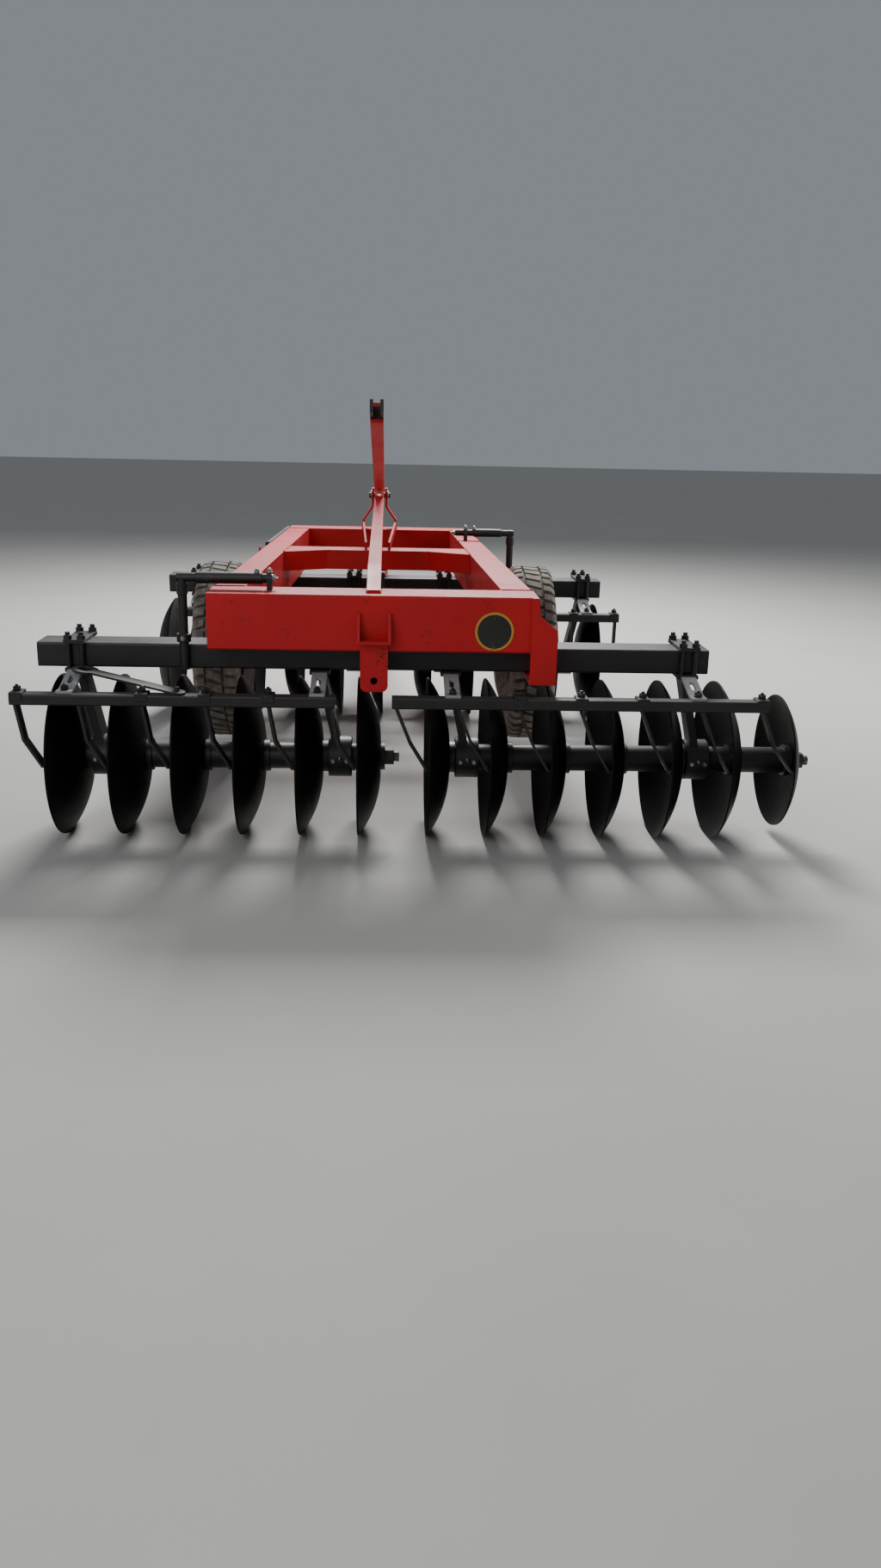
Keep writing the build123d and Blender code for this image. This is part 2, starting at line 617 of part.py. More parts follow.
# Stay from the rear beam's top up to the mast pin, its foot tapered and its last stretch an eye plate
STAY_FOOT_Y = FRAME_REAR + STAY_FOOT_SETBACK
STAY_FOOT_Z = FRAME_TOP + STAY_DEPTH / 2
STAY_RUN = MAST_PIN_Y - STAY_FOOT_Y
STAY_RISE = MAST_PIN_HEIGHT - STAY_FOOT_Z
STAY_LENGTH = hypot(STAY_RUN, STAY_RISE)
STAY_SLOPE = degrees(atan2(STAY_RISE, STAY_RUN))
stay_plane = Plane(
    origin=at(0, MAST_PIN_Y, MAST_PIN_HEIGHT),
    x_dir=(0, cos(radians(STAY_SLOPE)), sin(radians(STAY_SLOPE))),
    z_dir=(1, 0, 0),
)
with BuildPart() as stay:
    with BuildSketch(stay_plane.offset(-STAY_WIDTH / 2)):
        with BuildLine():
            Polyline(
                (-STAY_EYE_LENGTH, -STAY_DEPTH / 2),
                (-STAY_EYE_LENGTH, STAY_DEPTH / 2),
                (-STAY_LENGTH + STAY_TAPER, STAY_DEPTH / 2),
                (-STAY_LENGTH, -STAY_DEPTH / 2 + STAY_TOE),
                (-STAY_LENGTH, -STAY_DEPTH / 2),
                close=True,
            )
        make_face()
    extrude(amount=STAY_WIDTH)
    with BuildSketch(stay_plane.offset(-STAY_EYE_WIDTH / 2)):
        with Locations((-STAY_EYE_LENGTH / 2, 0)):
            Rectangle(STAY_EYE_LENGTH, STAY_DEPTH)
        Circle(STAY_DEPTH / 2)
    extrude(amount=STAY_EYE_WIDTH)
    with BuildSketch(stay_plane.offset(-STAY_EYE_WIDTH / 2)):
        Circle(MAST_PIN_RADIUS)
    extrude(amount=STAY_EYE_WIDTH, mode=Mode.SUBTRACT)
    # The foot is cut level where it stands on the rear beam
    with BuildSketch(Plane(at(0, STAY_FOOT_Y, FRAME_TOP - STAY_LENGTH))):
        Rectangle(2 * STAY_WIDTH, 2 * STAY_LENGTH)
    extrude(amount=STAY_LENGTH, mode=Mode.SUBTRACT)
stay.part.label = "top_stay"
export_step(stay.part, "parts/top_stay.step")

# Two flats from the middle crossbeam's top to the mast's feet, spreading to the front
with BuildPart() as flats:
    for sign in (-1, 1):
        with BuildSketch(Plane(at(0, 0, FRAME_TOP))):
            with BuildLine():
                front_y = MAST_PIN_Y - MAST_DEPTH / 2
                Polyline(
                    (sign * FLAT_REAR_SPREAD, MID_REAR),
                    (sign * (FLAT_REAR_SPREAD + SIDE_FLAT_THICKNESS), MID_REAR),
                    (sign * (MAST_FOOT + SIDE_FLAT_THICKNESS), front_y),
                    (sign * MAST_FOOT, front_y),
                    close=True,
                )
            make_face()
        extrude(amount=SIDE_FLAT_HEIGHT)
flats.part.label = "stay_side_flats"
export_step(flats.part, "parts/stay_side_flats.step")

# Rear hitch: a tongue down the rear beam's face with a ledge and two gussets
with BuildPart() as rear_hitch:
    with BuildSketch(back_plane(HITCH_X, FRAME_REAR, 0)):
        tongue_height = HITCH_LEDGE_HEIGHT - HITCH_TONGUE_BOTTOM
        with Locations((0, HITCH_TONGUE_BOTTOM + tongue_height / 2)):
            RectangleRounded(HITCH_WIDTH, tongue_height, HITCH_CORNER)
        with Locations((0, HITCH_TONGUE_BOTTOM + HITCH_HOLE_RISE)):
            Circle(HITCH_HOLE_RADIUS, mode=Mode.SUBTRACT)
    extrude(amount=HITCH_PLATE)
    with BuildSketch(Plane(at(HITCH_X, FRAME_REAR - HITCH_LEDGE / 2, HITCH_LEDGE_HEIGHT - HITCH_GUSSET))):
        Rectangle(HITCH_WIDTH + 2 * HITCH_GUSSET, HITCH_LEDGE)
    extrude(amount=HITCH_GUSSET)
    for gusset_x in (-HITCH_WIDTH / 2 - HITCH_GUSSET, HITCH_WIDTH / 2):
        with BuildSketch(side_plane(HITCH_X + gusset_x, FRAME_REAR, HITCH_LEDGE_HEIGHT)):
            with BuildLine():
                Polyline(
                    (0, 0),
                    (-HITCH_LEDGE, 0),
                    (-HITCH_GUSSET, HITCH_GUSSET_HEIGHT),
                    (0, HITCH_GUSSET_HEIGHT),
                    close=True,
                )
            make_face()
        extrude(amount=HITCH_GUSSET)
rear_hitch.part.label = "rear_hitch"
export_step(rear_hitch.part, "parts/rear_hitch.step")

# Pivot brackets: a plate down past the gang beam, a shelf under it, a pin and a thrust washer
SHELF_TOP = BEAM_BOTTOM - THRUST_WASHER_HEIGHT - SOFT_GAP
# Each bracket: row, pivot's X, row's Y, Y of the upright's beam-side face
BRACKETS = (
    ("rear", REAR_PIVOT_X, REAR_ROW, FRAME_REAR),
    ("front", FRONT_PIVOT_X, FRONT_ROW, FRONT_ROW - BEAM_DEPTH / 2 - FRONT_UPRIGHT_GAP),
)
for row, pivot_x, row_y, face_y in BRACKETS:
    upright_top = FRAME_TOP if row == "rear" else FRAME_BOTTOM
    shelf_bottom = SHELF_TOP - PIVOT_PLATE
    shelf_front = row_y + PIVOT_BRACKET_WIDTH / 2
    with BuildPart() as bracket:
        half = PIVOT_BRACKET_WIDTH / 2
        with BuildSketch(back_plane(pivot_x, face_y, 0)):
            if row == "rear":
                # Its upper corner is cut back to the end of the rear beam
                beam_end = FRAME_REAR_WIDTH / 2 - pivot_x
                with BuildLine():
                    Polyline(
                        (-half, shelf_bottom),
                        (half, shelf_bottom),
                        (half, upright_top - REAR_PLATE_SHOULDER),
                        (beam_end + REAR_PLATE_STEP, upright_top - REAR_PLATE_NECK),
                        (beam_end, upright_top),
                        (-half, upright_top),
                        close=True,
                    )
                make_face()
            else:
                with Locations((0, (upright_top + shelf_bottom) / 2)):
                    Rectangle(PIVOT_BRACKET_WIDTH, upright_top - shelf_bottom)
        extrude(amount=PIVOT_PLATE)
        with BuildSketch(Plane(at(pivot_x, (face_y + shelf_front) / 2, shelf_bottom))):
            Rectangle(PIVOT_BRACKET_WIDTH, shelf_front - face_y)
        extrude(amount=PIVOT_PLATE)
        with BuildSketch(Plane(at(pivot_x, row_y, SHELF_TOP))):
            Circle(THRUST_WASHER_RADIUS)
        extrude(amount=THRUST_WASHER_HEIGHT)
        with BuildSketch(Plane(at(pivot_x, row_y, SHELF_TOP))):
            Circle(PIVOT_PIN_RADIUS)
        extrude(amount=FRAME_BOTTOM - SHELF_TOP)
    bracket.part.label = f"{row}_pivot_bracket"
    export_step(bracket.part, f"parts/{row}_pivot_bracket.step")

# Stop bars: a leg behind each gang beam's free end and an arm across the frame's top
# Each bar: row, leg's X, row's Y, X of the arm's inner end
STOPS = (
    ("rear", -LOCK_LEG_X, REAR_ROW, -LOCK_ARM_END_X),
    ("front", LOCK_LEG_X, FRONT_ROW, LOCK_ARM_END_X + FRONT_ARM_INSET),
)
for row, leg_x, row_y, arm_x in STOPS:
    leg_y = row_y - BEAM_DEPTH / 2 - LOCK_TUBE_RADIUS - SOFT_GAP
    outward = 1 if leg_x > 0 else -1
    with BuildPart() as stop_bar:
        with BuildSketch(Plane(at(leg_x, leg_y, BEAM_BOTTOM))):
            Circle(LOCK_TUBE_RADIUS)
        extrude(amount=LOCK_TUBE_HEIGHT - BEAM_BOTTOM)
        elbow_x = leg_x + outward * LOCK_TUBE_RADIUS
        with BuildSketch(side_plane(min(elbow_x, arm_x), leg_y, LOCK_TUBE_HEIGHT)):
            Circle(LOCK_TUBE_RADIUS)
        extrude(amount=abs(arm_x - elbow_x))
        with BuildSketch(side_plane(arm_x - STOP_LUG_THICKNESS / 2, leg_y, FRAME_TOP)):
            with Locations((0, (LOCK_TUBE_HEIGHT - FRAME_TOP) / 2)):
                Rectangle(STOP_LUG_WIDTH, LOCK_TUBE_HEIGHT - FRAME_TOP)
            with Locations((0, LOCK_TUBE_HEIGHT - FRAME_TOP)):
                Circle(STOP_LUG_WIDTH / 2)
        extrude(amount=STOP_LUG_THICKNESS)
    stop_bar.part.label = f"{row}_stop_bar"
    export_step(stop_bar.part, f"parts/{row}_stop_bar.step")

# Bearing blocks under the side beams for the rock shaft
with BuildPart() as shaft_blocks:
    for sign in (-1, 1):
        block_x = sign * (frame_half_width(ROCK_SHAFT_Y) - SIDE_BEAM_WIDTH / 2)
        with BuildSketch(side_plane(block_x - SHAFT_BLOCK_LENGTH / 2, ROCK_SHAFT_Y, ROCK_SHAFT_HEIGHT)):
            Circle(SHAFT_BLOCK_RADIUS)
            with Locations((0, (FRAME_BOTTOM - ROCK_SHAFT_HEIGHT) / 2)):
                Rectangle(2 * SHAFT_BLOCK_RADIUS, FRAME_BOTTOM - ROCK_SHAFT_HEIGHT)
        extrude(amount=SHAFT_BLOCK_LENGTH)
        with BuildSketch(side_plane(block_x - SHAFT_BLOCK_LENGTH / 2, ROCK_SHAFT_Y, ROCK_SHAFT_HEIGHT)):
            Circle(ROCK_SHAFT_RADIUS + RUNNING_FIT)
        extrude(amount=SHAFT_BLOCK_LENGTH, mode=Mode.SUBTRACT)
shaft_blocks.part.label = "rock_shaft_blocks"
export_step(shaft_blocks.part, "parts/rock_shaft_blocks.step")

# Rock shaft with its wheel arms, spindles and lift lever
ARM_INNER = WHEEL_X - TYRE_WIDTH / 2 - TYRE_ARM_GAP - WHEEL_ARM_THICKNESS
LEVER_TIP_Y = ROCK_SHAFT_Y + LEVER_REACH * cos(radians(LEVER_ANGLE))
LEVER_TIP_Z = ROCK_SHAFT_HEIGHT + LEVER_REACH * sin(radians(LEVER_ANGLE))
LEVER_INNER = CYLINDER_EYE_WIDTH / 2 + LEVER_GAP
with BuildPart() as rock_shaft:
    with BuildSketch(side_plane(-ARM_INNER - WHEEL_ARM_THICKNESS, ROCK_SHAFT_Y, ROCK_SHAFT_HEIGHT)):
        Circle(ROCK_SHAFT_RADIUS)
    extrude(amount=2 * (ARM_INNER + WHEEL_ARM_THICKNESS))
    for sign in (-1, 1):
        with BuildSketch(side_plane(sign * ARM_INNER, 0, 0)):
            with Locations((WHEEL_Y, WHEEL_HEIGHT), (ROCK_SHAFT_Y, ROCK_SHAFT_HEIGHT)):
                Circle(WHEEL_ARM_WIDTH / 2)
            with BuildLine():
                arm_run = WHEEL_ARM_REACH
                arm_rise = ROCK_SHAFT_HEIGHT - WHEEL_HEIGHT
                arm_length = hypot(arm_run, arm_rise)
                side_y = -arm_rise / arm_length * WHEEL_ARM_WIDTH / 2
                side_z = arm_run / arm_length * WHEEL_ARM_WIDTH / 2
                Polyline(
                    (WHEEL_Y + side_y, WHEEL_HEIGHT + side_z),
                    (ROCK_SHAFT_Y + side_y, ROCK_SHAFT_HEIGHT + side_z),
                    (ROCK_SHAFT_Y - side_y, ROCK_SHAFT_HEIGHT - side_z),
                    (WHEEL_Y - side_y, WHEEL_HEIGHT - side_z),
                    close=True,
                )
            make_face()
        extrude(amount=sign * WHEEL_ARM_THICKNESS)
        with BuildSketch(side_plane(sign * ARM_INNER, WHEEL_Y, WHEEL_HEIGHT)):
            Circle(SPINDLE_RADIUS)
        extrude(amount=sign * (WHEEL_X + HUB_LENGTH / 2 - ARM_INNER))
        with BuildSketch(side_plane(sign * LEVER_INNER, 0, 0)):
            with Locations((LEVER_TIP_Y, LEVER_TIP_Z)):
                Circle(LEVER_WIDTH / 2)
            with BuildLine():
                half_y = sin(radians(LEVER_ANGLE)) * LEVER_WIDTH / 2
                half_z = cos(radians(LEVER_ANGLE)) * LEVER_WIDTH / 2
                Polyline(
                    (LEVER_TIP_Y + half_y, LEVER_TIP_Z - half_z),
                    (LEVER_TIP_Y - half_y, LEVER_TIP_Z + half_z),
                    (ROCK_SHAFT_Y - half_y, ROCK_SHAFT_HEIGHT + half_z),
                    (ROCK_SHAFT_Y + half_y, ROCK_SHAFT_HEIGHT - half_z),
                    close=True,
                )
            make_face()
        extrude(amount=sign * LEVER_PLATE)
    with BuildSketch(side_plane(-LEVER_INNER - LEVER_PLATE, LEVER_TIP_Y, LEVER_TIP_Z)):
        Circle(CYLINDER_PIN_RADIUS)
    extrude(amount=2 * (LEVER_INNER + LEVER_PLATE))
rock_shaft.part.label = "rock_shaft"
export_step(rock_shaft.part, "parts/rock_shaft.step")

# Wheels: a rim with its web and hub, and a tyre out to the tips of its lugs
for gang_side, sign in (("left", -1), ("right", 1)):
    wheel_x = sign * WHEEL_X
    wheel_axis = Axis(at(wheel_x, WHEEL_Y, WHEEL_HEIGHT), (1, 0, 0))
    wheel_plane = back_plane(wheel_x, WHEEL_Y, WHEEL_HEIGHT)
    with BuildPart() as rim:
        with BuildSketch(wheel_plane):
            with BuildLine():
                Polyline(
                    (-HUB_LENGTH / 2, SPINDLE_RADIUS + RUNNING_FIT),
                    (-HUB_LENGTH / 2, HUB_RADIUS),
                    (-WEB_THICKNESS / 2, HUB_RADIUS),
                    (-WEB_THICKNESS / 2, RIM_RADIUS - RIM_WALL),
                    (-RIM_WIDTH / 2, RIM_RADIUS - RIM_WALL),
                    (-RIM_WIDTH / 2, RIM_RADIUS),
                    (RIM_WIDTH / 2, RIM_RADIUS),
                    (RIM_WIDTH / 2, RIM_RADIUS - RIM_WALL),
                    (WEB_THICKNESS / 2, RIM_RADIUS - RIM_WALL),
                    (WEB_THICKNESS / 2, HUB_RADIUS),
                    (HUB_LENGTH / 2, HUB_RADIUS),
                    (HUB_LENGTH / 2, SPINDLE_RADIUS + RUNNING_FIT),
                    close=True,
                )
            make_face()
        revolve(axis=wheel_axis)
    rim.part.label = f"{gang_side}_rim"
    export_step(rim.part, f"parts/{gang_side}_rim.step")

    with BuildPart() as tyre:
        with BuildSketch(wheel_plane):
            with BuildLine():
                belly_x = TYRE_WIDTH / 2
                bead = RIM_WIDTH / 2
                flank = belly_x - TYRE_TUCK
                tread = flank - TYRE_SHOULDER
                shoulder = TYRE_RADIUS - TYRE_SHOULDER
                belly = (RIM_RADIUS + shoulder) / 2
                ThreePointArc((-bead, RIM_RADIUS), (-belly_x, belly), (-flank, shoulder))
                Line((-flank, shoulder), (-tread, TYRE_RADIUS))
                Line((-tread, TYRE_RADIUS), (tread, TYRE_RADIUS))
                Line((tread, TYRE_RADIUS), (flank, shoulder))
                ThreePointArc((flank, shoulder), (belly_x, belly), (bead, RIM_RADIUS))
                Line((bead, RIM_RADIUS), (-bead, RIM_RADIUS))
            make_face()
        revolve(axis=wheel_axis)
    tyre.part.label = f"{gang_side}_tyre"
    export_step(tyre.part, f"parts/{gang_side}_tyre.step")

# Lift cylinder between the front crossbeam and the lever
ANCHOR_Y = SIDE_FRONT - CYLINDER_ANCHOR_REACH
CYLINDER_RUN = LEVER_TIP_Y - ANCHOR_Y
CYLINDER_RISE = LEVER_TIP_Z - CYLINDER_ANCHOR_HEIGHT
CYLINDER_LENGTH = hypot(CYLINDER_RUN, CYLINDER_RISE)
cylinder_dir = (0, CYLINDER_RUN / CYLINDER_LENGTH, CYLINDER_RISE / CYLINDER_LENGTH)
EYE_HALF = CYLINDER_EYE_WIDTH / 2

with BuildPart() as anchor:
    for sign in (-1, 1):
        with BuildSketch(side_plane(sign * LEVER_INNER, ANCHOR_Y, CYLINDER_ANCHOR_HEIGHT)):
            Circle(CYLINDER_EYE_RADIUS)
            with Locations((CYLINDER_ANCHOR_REACH / 2, 0)):
                Rectangle(CYLINDER_ANCHOR_REACH, 2 * CYLINDER_EYE_RADIUS)
        extrude(amount=sign * LEVER_PLATE)
    with BuildSketch(side_plane(-LEVER_INNER - LEVER_PLATE, ANCHOR_Y, CYLINDER_ANCHOR_HEIGHT)):
        Circle(CYLINDER_PIN_RADIUS)
    extrude(amount=2 * (LEVER_INNER + LEVER_PLATE))
anchor.part.label = "cylinder_anchor"
export_step(anchor.part, "parts/cylinder_anchor.step")

barrel_plane = Plane(origin=at(0, ANCHOR_Y, CYLINDER_ANCHOR_HEIGHT), x_dir=(1, 0, 0), z_dir=cylinder_dir)
with BuildPart() as barrel:
    with BuildSketch(side_plane(-EYE_HALF, ANCHOR_Y, CYLINDER_ANCHOR_HEIGHT)):
        Circle(CYLINDER_EYE_RADIUS)
    extrude(amount=CYLINDER_EYE_WIDTH)
    with BuildSketch(barrel_plane.offset(CYLINDER_PIN_RADIUS + EYE_WALL)):
        Circle(NECK_RADIUS)
    extrude(amount=BARREL_SETBACK)
    with BuildSketch(barrel_plane.offset(BARREL_SETBACK)):
        Circle(BARREL_RADIUS)
    extrude(amount=BARREL_LENGTH - BARREL_SETBACK)
    with BuildSketch(barrel_plane.offset(BARREL_SETBACK + EYE_WALL)):
        Circle(ROD_RADIUS + RUNNING_FIT)
    extrude(amount=BARREL_LENGTH - BARREL_SETBACK - EYE_WALL, mode=Mode.SUBTRACT)
    with BuildSketch(side_plane(-EYE_HALF, ANCHOR_Y, CYLINDER_ANCHOR_HEIGHT)):
        Circle(CYLINDER_PIN_RADIUS + RUNNING_FIT)
    extrude(amount=CYLINDER_EYE_WIDTH, mode=Mode.SUBTRACT)
barrel.part.label = "lift_cylinder_barrel"
export_step(barrel.part, "parts/lift_cylinder_barrel.step")

with BuildPart() as rod:
    with BuildSketch(barrel_plane.offset(CYLINDER_LENGTH - ROD_LENGTH)):
        Circle(ROD_RADIUS)
    extrude(amount=ROD_LENGTH - CYLINDER_EYE_RADIUS + EYE_WALL / 2)
    with BuildSketch(side_plane(-EYE_HALF, LEVER_TIP_Y, LEVER_TIP_Z)):
        Circle(CYLINDER_EYE_RADIUS)
    extrude(amount=CYLINDER_EYE_WIDTH)
    with BuildSketch(side_plane(-EYE_HALF, LEVER_TIP_Y, LEVER_TIP_Z)):
        Circle(CYLINDER_PIN_RADIUS + ROD_EYE_CLEARANCE)
    extrude(amount=CYLINDER_EYE_WIDTH, mode=Mode.SUBTRACT)
rod.part.label = "lift_cylinder_rod"
export_step(rod.part, "parts/lift_cylinder_rod.step")

# Drawbar: a box bar from the front crossbeam down to its towing eye
slope = radians(DRAWBAR_SLOPE)
drawbar_plane = Plane(
    origin=at(0, DRAWBAR_PIN_Y, DRAWBAR_PIN_HEIGHT),
    x_dir=(0, cos(slope), -sin(slope)),
    z_dir=(1, 0, 0),
)
drawbar_top = Plane(
    origin=at(0, DRAWBAR_PIN_Y, DRAWBAR_PIN_HEIGHT),
    x_dir=(1, 0, 0),
    z_dir=(0, sin(slope), cos(slope)),
)
with BuildPart() as drawbar:
    with BuildSketch(drawbar_plane.offset(-DRAWBAR_WIDTH / 2)):
        with BuildLine():
            Polyline(
                (0, -DRAWBAR_DEPTH / 2),
                (0, DRAWBAR_DEPTH / 2),
                (DRAWBAR_LENGTH - DRAWBAR_NOSE, DRAWBAR_DEPTH / 2),
                (DRAWBAR_LENGTH - HITCH_EYE_RADIUS, HITCH_EYE_THICKNESS / 2),
                (DRAWBAR_LENGTH - HITCH_EYE_RADIUS, -HITCH_EYE_THICKNESS / 2),
                (DRAWBAR_LENGTH - DRAWBAR_NOSE, -DRAWBAR_DEPTH / 2),
                close=True,
            )
        make_face()
        Circle(DRAWBAR_DEPTH / 2)
    extrude(amount=DRAWBAR_WIDTH)
    with BuildSketch(drawbar_top.offset(-HITCH_EYE_THICKNESS / 2)):
        with Locations((0, DRAWBAR_LENGTH)):
            Circle(HITCH_EYE_RADIUS)
        with Locations((0, DRAWBAR_LENGTH - HITCH_EYE_RADIUS)):
            Rectangle(2 * HITCH_EYE_RADIUS - HITCH_EYE_BORE / 2, 2 * HITCH_EYE_RADIUS)
        with Locations((0, DRAWBAR_LENGTH)):
            Circle(HITCH_EYE_BORE, mode=Mode.SUBTRACT)
    extrude(amount=HITCH_EYE_THICKNESS)
    with BuildSketch(side_plane(-DRAWBAR_WIDTH / 2, DRAWBAR_PIN_Y, DRAWBAR_PIN_HEIGHT)):
        Circle(DRAWBAR_PIN_RADIUS + RUNNING_FIT)
    extrude(amount=DRAWBAR_WIDTH, mode=Mode.SUBTRACT)
drawbar.part.label = "drawbar"
export_step(drawbar.part, "parts/drawbar.step")

# Lugs on the front crossbeam that carry the drawbar's pin
LUG_INNER = DRAWBAR_WIDTH / 2 + DRAWBAR_LUG_GAP
with BuildPart() as drawbar_lugs:
    for sign in (-1, 1):
        with BuildSketch(side_plane(sign * LUG_INNER, DRAWBAR_PIN_Y, DRAWBAR_PIN_HEIGHT)):
            Circle(DRAWBAR_LUG_RADIUS)
            with Locations((-DRAWBAR_PIN_REACH / 2, 0)):
                Rectangle(DRAWBAR_PIN_REACH, 2 * DRAWBAR_LUG_RADIUS)
        extrude(amount=sign * DRAWBAR_LUG)
    with BuildSketch(side_plane(-LUG_INNER - DRAWBAR_LUG, DRAWBAR_PIN_Y, DRAWBAR_PIN_HEIGHT)):
        Circle(DRAWBAR_PIN_RADIUS)
    extrude(amount=2 * (LUG_INNER + DRAWBAR_LUG))
drawbar_lugs.part.label = "drawbar_lugs"
export_step(drawbar_lugs.part, "parts/drawbar_lugs.step")

# Top link folded back over the frame, with a fork at each end
link = radians(LINK_ANGLE)
link_plane = Plane(
    origin=at(0, MAST_PIN_Y, MAST_PIN_HEIGHT),
    x_dir=(0, -cos(link), sin(link)),
    z_dir=(-1, 0, 0),
)
CHEEK_INNER = STAY_EYE_WIDTH / 2 + CHEEK_GAP
with BuildPart() as top_link:
    with BuildSketch(link_plane.offset(-LINK_WIDTH / 2)):
        link_body = LINK_LENGTH - LINK_ROOT_LENGTH - LINK_FORK_LENGTH
        with Locations((LINK_ROOT_LENGTH + link_body / 2, 0)):
            Rectangle(link_body, LINK_DEPTH)
    extrude(amount=LINK_WIDTH)
    for sign in (-1, 1):
        with BuildSketch(link_plane.offset(sign * CHEEK_INNER)):
            with Locations((LINK_ROOT_LENGTH / 2, 0)):
                Rectangle(LINK_ROOT_LENGTH, LINK_ROOT_DEPTH)
            Circle(LINK_ROOT_DEPTH / 2)
            Circle(MAST_PIN_RADIUS + RUNNING_FIT, mode=Mode.SUBTRACT)
        extrude(amount=sign * LINK_FORK_CHEEK)
        with BuildSketch(link_plane.offset(sign * (LINK_WIDTH / 2 - LINK_FORK_CHEEK))):
            with Locations((LINK_LENGTH - LINK_FORK_LENGTH / 2, 0)):
                Rectangle(LINK_FORK_LENGTH, LINK_FORK_DEPTH)
            with Locations((LINK_LENGTH - LINK_FORK_LENGTH / 3, 0)):
                Circle(LINK_PIN_RADIUS, mode=Mode.SUBTRACT)
        extrude(amount=sign * LINK_FORK_CHEEK)
top_link.part.label = "top_link"
export_step(top_link.part, "parts/top_link.step")

# Brace plate sloping from the left clamp back to the scraper bar, with a bolt through its end
BRACE_FRONT = (BRACE_FRONT_X, REAR_ROW - BEAM_DEPTH / 2 - CLAMP_OVERHANG - BRACE_HEAD_RADIUS)
BRACE_BACK = (BRACE_BACK_X, REAR_ROW - SCRAPER_BAR_SETBACK + SCRAPER_BAR_DEPTH / 2)
brace_along = Vector(
    BRACE_BACK[0] - BRACE_FRONT[0], BRACE_BACK[1] - BRACE_FRONT[1], BRACE_BACK_RISE - BRACE_FRONT_RISE
)
brace_plane = Plane(
    origin=at(BRACE_FRONT[0], BRACE_FRONT[1], SCRAPER_BAR_TOP + BRACE_FRONT_RISE),
    x_dir=brace_along,
    z_dir=brace_along.cross(Vector(0, 0, 1).cross(brace_along)),
)
with BuildPart() as brace:
    with BuildSketch(brace_plane):
        Circle(BRACE_HEAD_RADIUS)
        with Locations((brace_along.length / 2, 0)):
            Rectangle(brace_along.length, BRACE_WIDTH)
        with Locations((brace_along.length, 0)):
            Circle(BRACE_WIDTH / 2)
        Circle(BRACE_HOLE_RADIUS, mode=Mode.SUBTRACT)
    extrude(amount=BRACE_THICKNESS)
    with BuildSketch(Plane(at(BRACE_BACK[0], BRACE_BACK[1], SCRAPER_BAR_TOP))):
        Circle(CLAMP_BOLT_RADIUS)
    extrude(amount=BRACE_BACK_RISE + BRACE_THICKNESS + CLAMP_NUT_HEIGHT)
brace.part.label = "rear_scraper_brace"
export_step(brace.part, "parts/rear_scraper_brace.step")
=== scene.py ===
"""Offset disc harrow: paint, rubber, tread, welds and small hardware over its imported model.

Everything is in metres, and places are read from the frame's own nodes.
"""

import json
from math import atan2, cos, pi, radians, sin

import bmesh
import bpy
from mathutils import Matrix, Vector


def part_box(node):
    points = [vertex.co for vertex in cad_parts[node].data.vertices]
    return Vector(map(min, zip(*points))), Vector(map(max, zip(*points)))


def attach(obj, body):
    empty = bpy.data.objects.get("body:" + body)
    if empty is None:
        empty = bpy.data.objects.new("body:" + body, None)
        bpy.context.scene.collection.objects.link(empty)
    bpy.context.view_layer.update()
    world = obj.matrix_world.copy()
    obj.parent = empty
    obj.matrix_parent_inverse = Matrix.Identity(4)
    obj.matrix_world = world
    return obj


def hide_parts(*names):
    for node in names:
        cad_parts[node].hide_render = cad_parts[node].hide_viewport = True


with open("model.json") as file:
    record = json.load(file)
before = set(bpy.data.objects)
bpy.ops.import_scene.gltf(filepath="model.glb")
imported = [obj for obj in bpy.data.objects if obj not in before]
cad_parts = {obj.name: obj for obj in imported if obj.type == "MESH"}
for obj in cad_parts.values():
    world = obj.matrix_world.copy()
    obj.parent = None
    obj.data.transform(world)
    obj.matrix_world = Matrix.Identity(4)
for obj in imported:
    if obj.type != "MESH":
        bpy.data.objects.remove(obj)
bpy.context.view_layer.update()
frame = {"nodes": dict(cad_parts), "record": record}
nodes = frame["nodes"]

X_AXIS = Vector((1, 0, 0))
Y_AXIS = Vector((0, 1, 0))
Z_AXIS = Vector((0, 0, 1))

# Places that the rest is measured from
REAR_BEAM_LOW, REAR_BEAM_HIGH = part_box("rear_beam")
MIDDLE_X = (REAR_BEAM_LOW.x + REAR_BEAM_HIGH.x) / 2
REAR_FACE_Y = REAR_BEAM_LOW.y
FRAME_TOP = REAR_BEAM_HIGH.z

# Camera: where it stood behind the machine, how it was held, and its lens
CAMERA_BACK = 4.273
CAMERA_ASIDE = 0.050
CAMERA_HEIGHT = 1.542
CAMERA_PITCH = radians(16.71)
CAMERA_YAW = radians(2.70)
CAMERA_ROLL = radians(1.25)
IMAGE_WIDTH = 1024
FOCAL_PIXELS = 1400
SENSOR_WIDTH = 36.0

# Sizes of the solids that the added pieces sit on
STEM_HALF = 0.005
BEARING_HALF_LENGTH = 0.042
BEARING_RADIUS = 0.078
BOLT_TAIL = 0.020
GANG_BOLT_RADIUS = 0.019
STOP_TUBE_RADIUS = 0.017
STOP_LUG_HALF = 0.025
STOP_LUG_THICKNESS = 0.018
WEB_HALF = 0.006
HUB_HALF_LENGTH = 0.055
SIDE_BEAM_WIDTH = 0.112
ARM_THICKNESS = 0.010
CYLINDER_EYE_RADIUS = 0.028
DRAWBAR_LUG_RADIUS = 0.046
LINK_SLOPE = radians(12.8)
LINK_LENGTH = 2.100
LINK_FORK = 0.120
LINK_FORK_DEPTH = 0.050
LINK_HALF_WIDTH = 0.027
LINK_CHEEK = 0.012
LINK_HOLE = 0.013

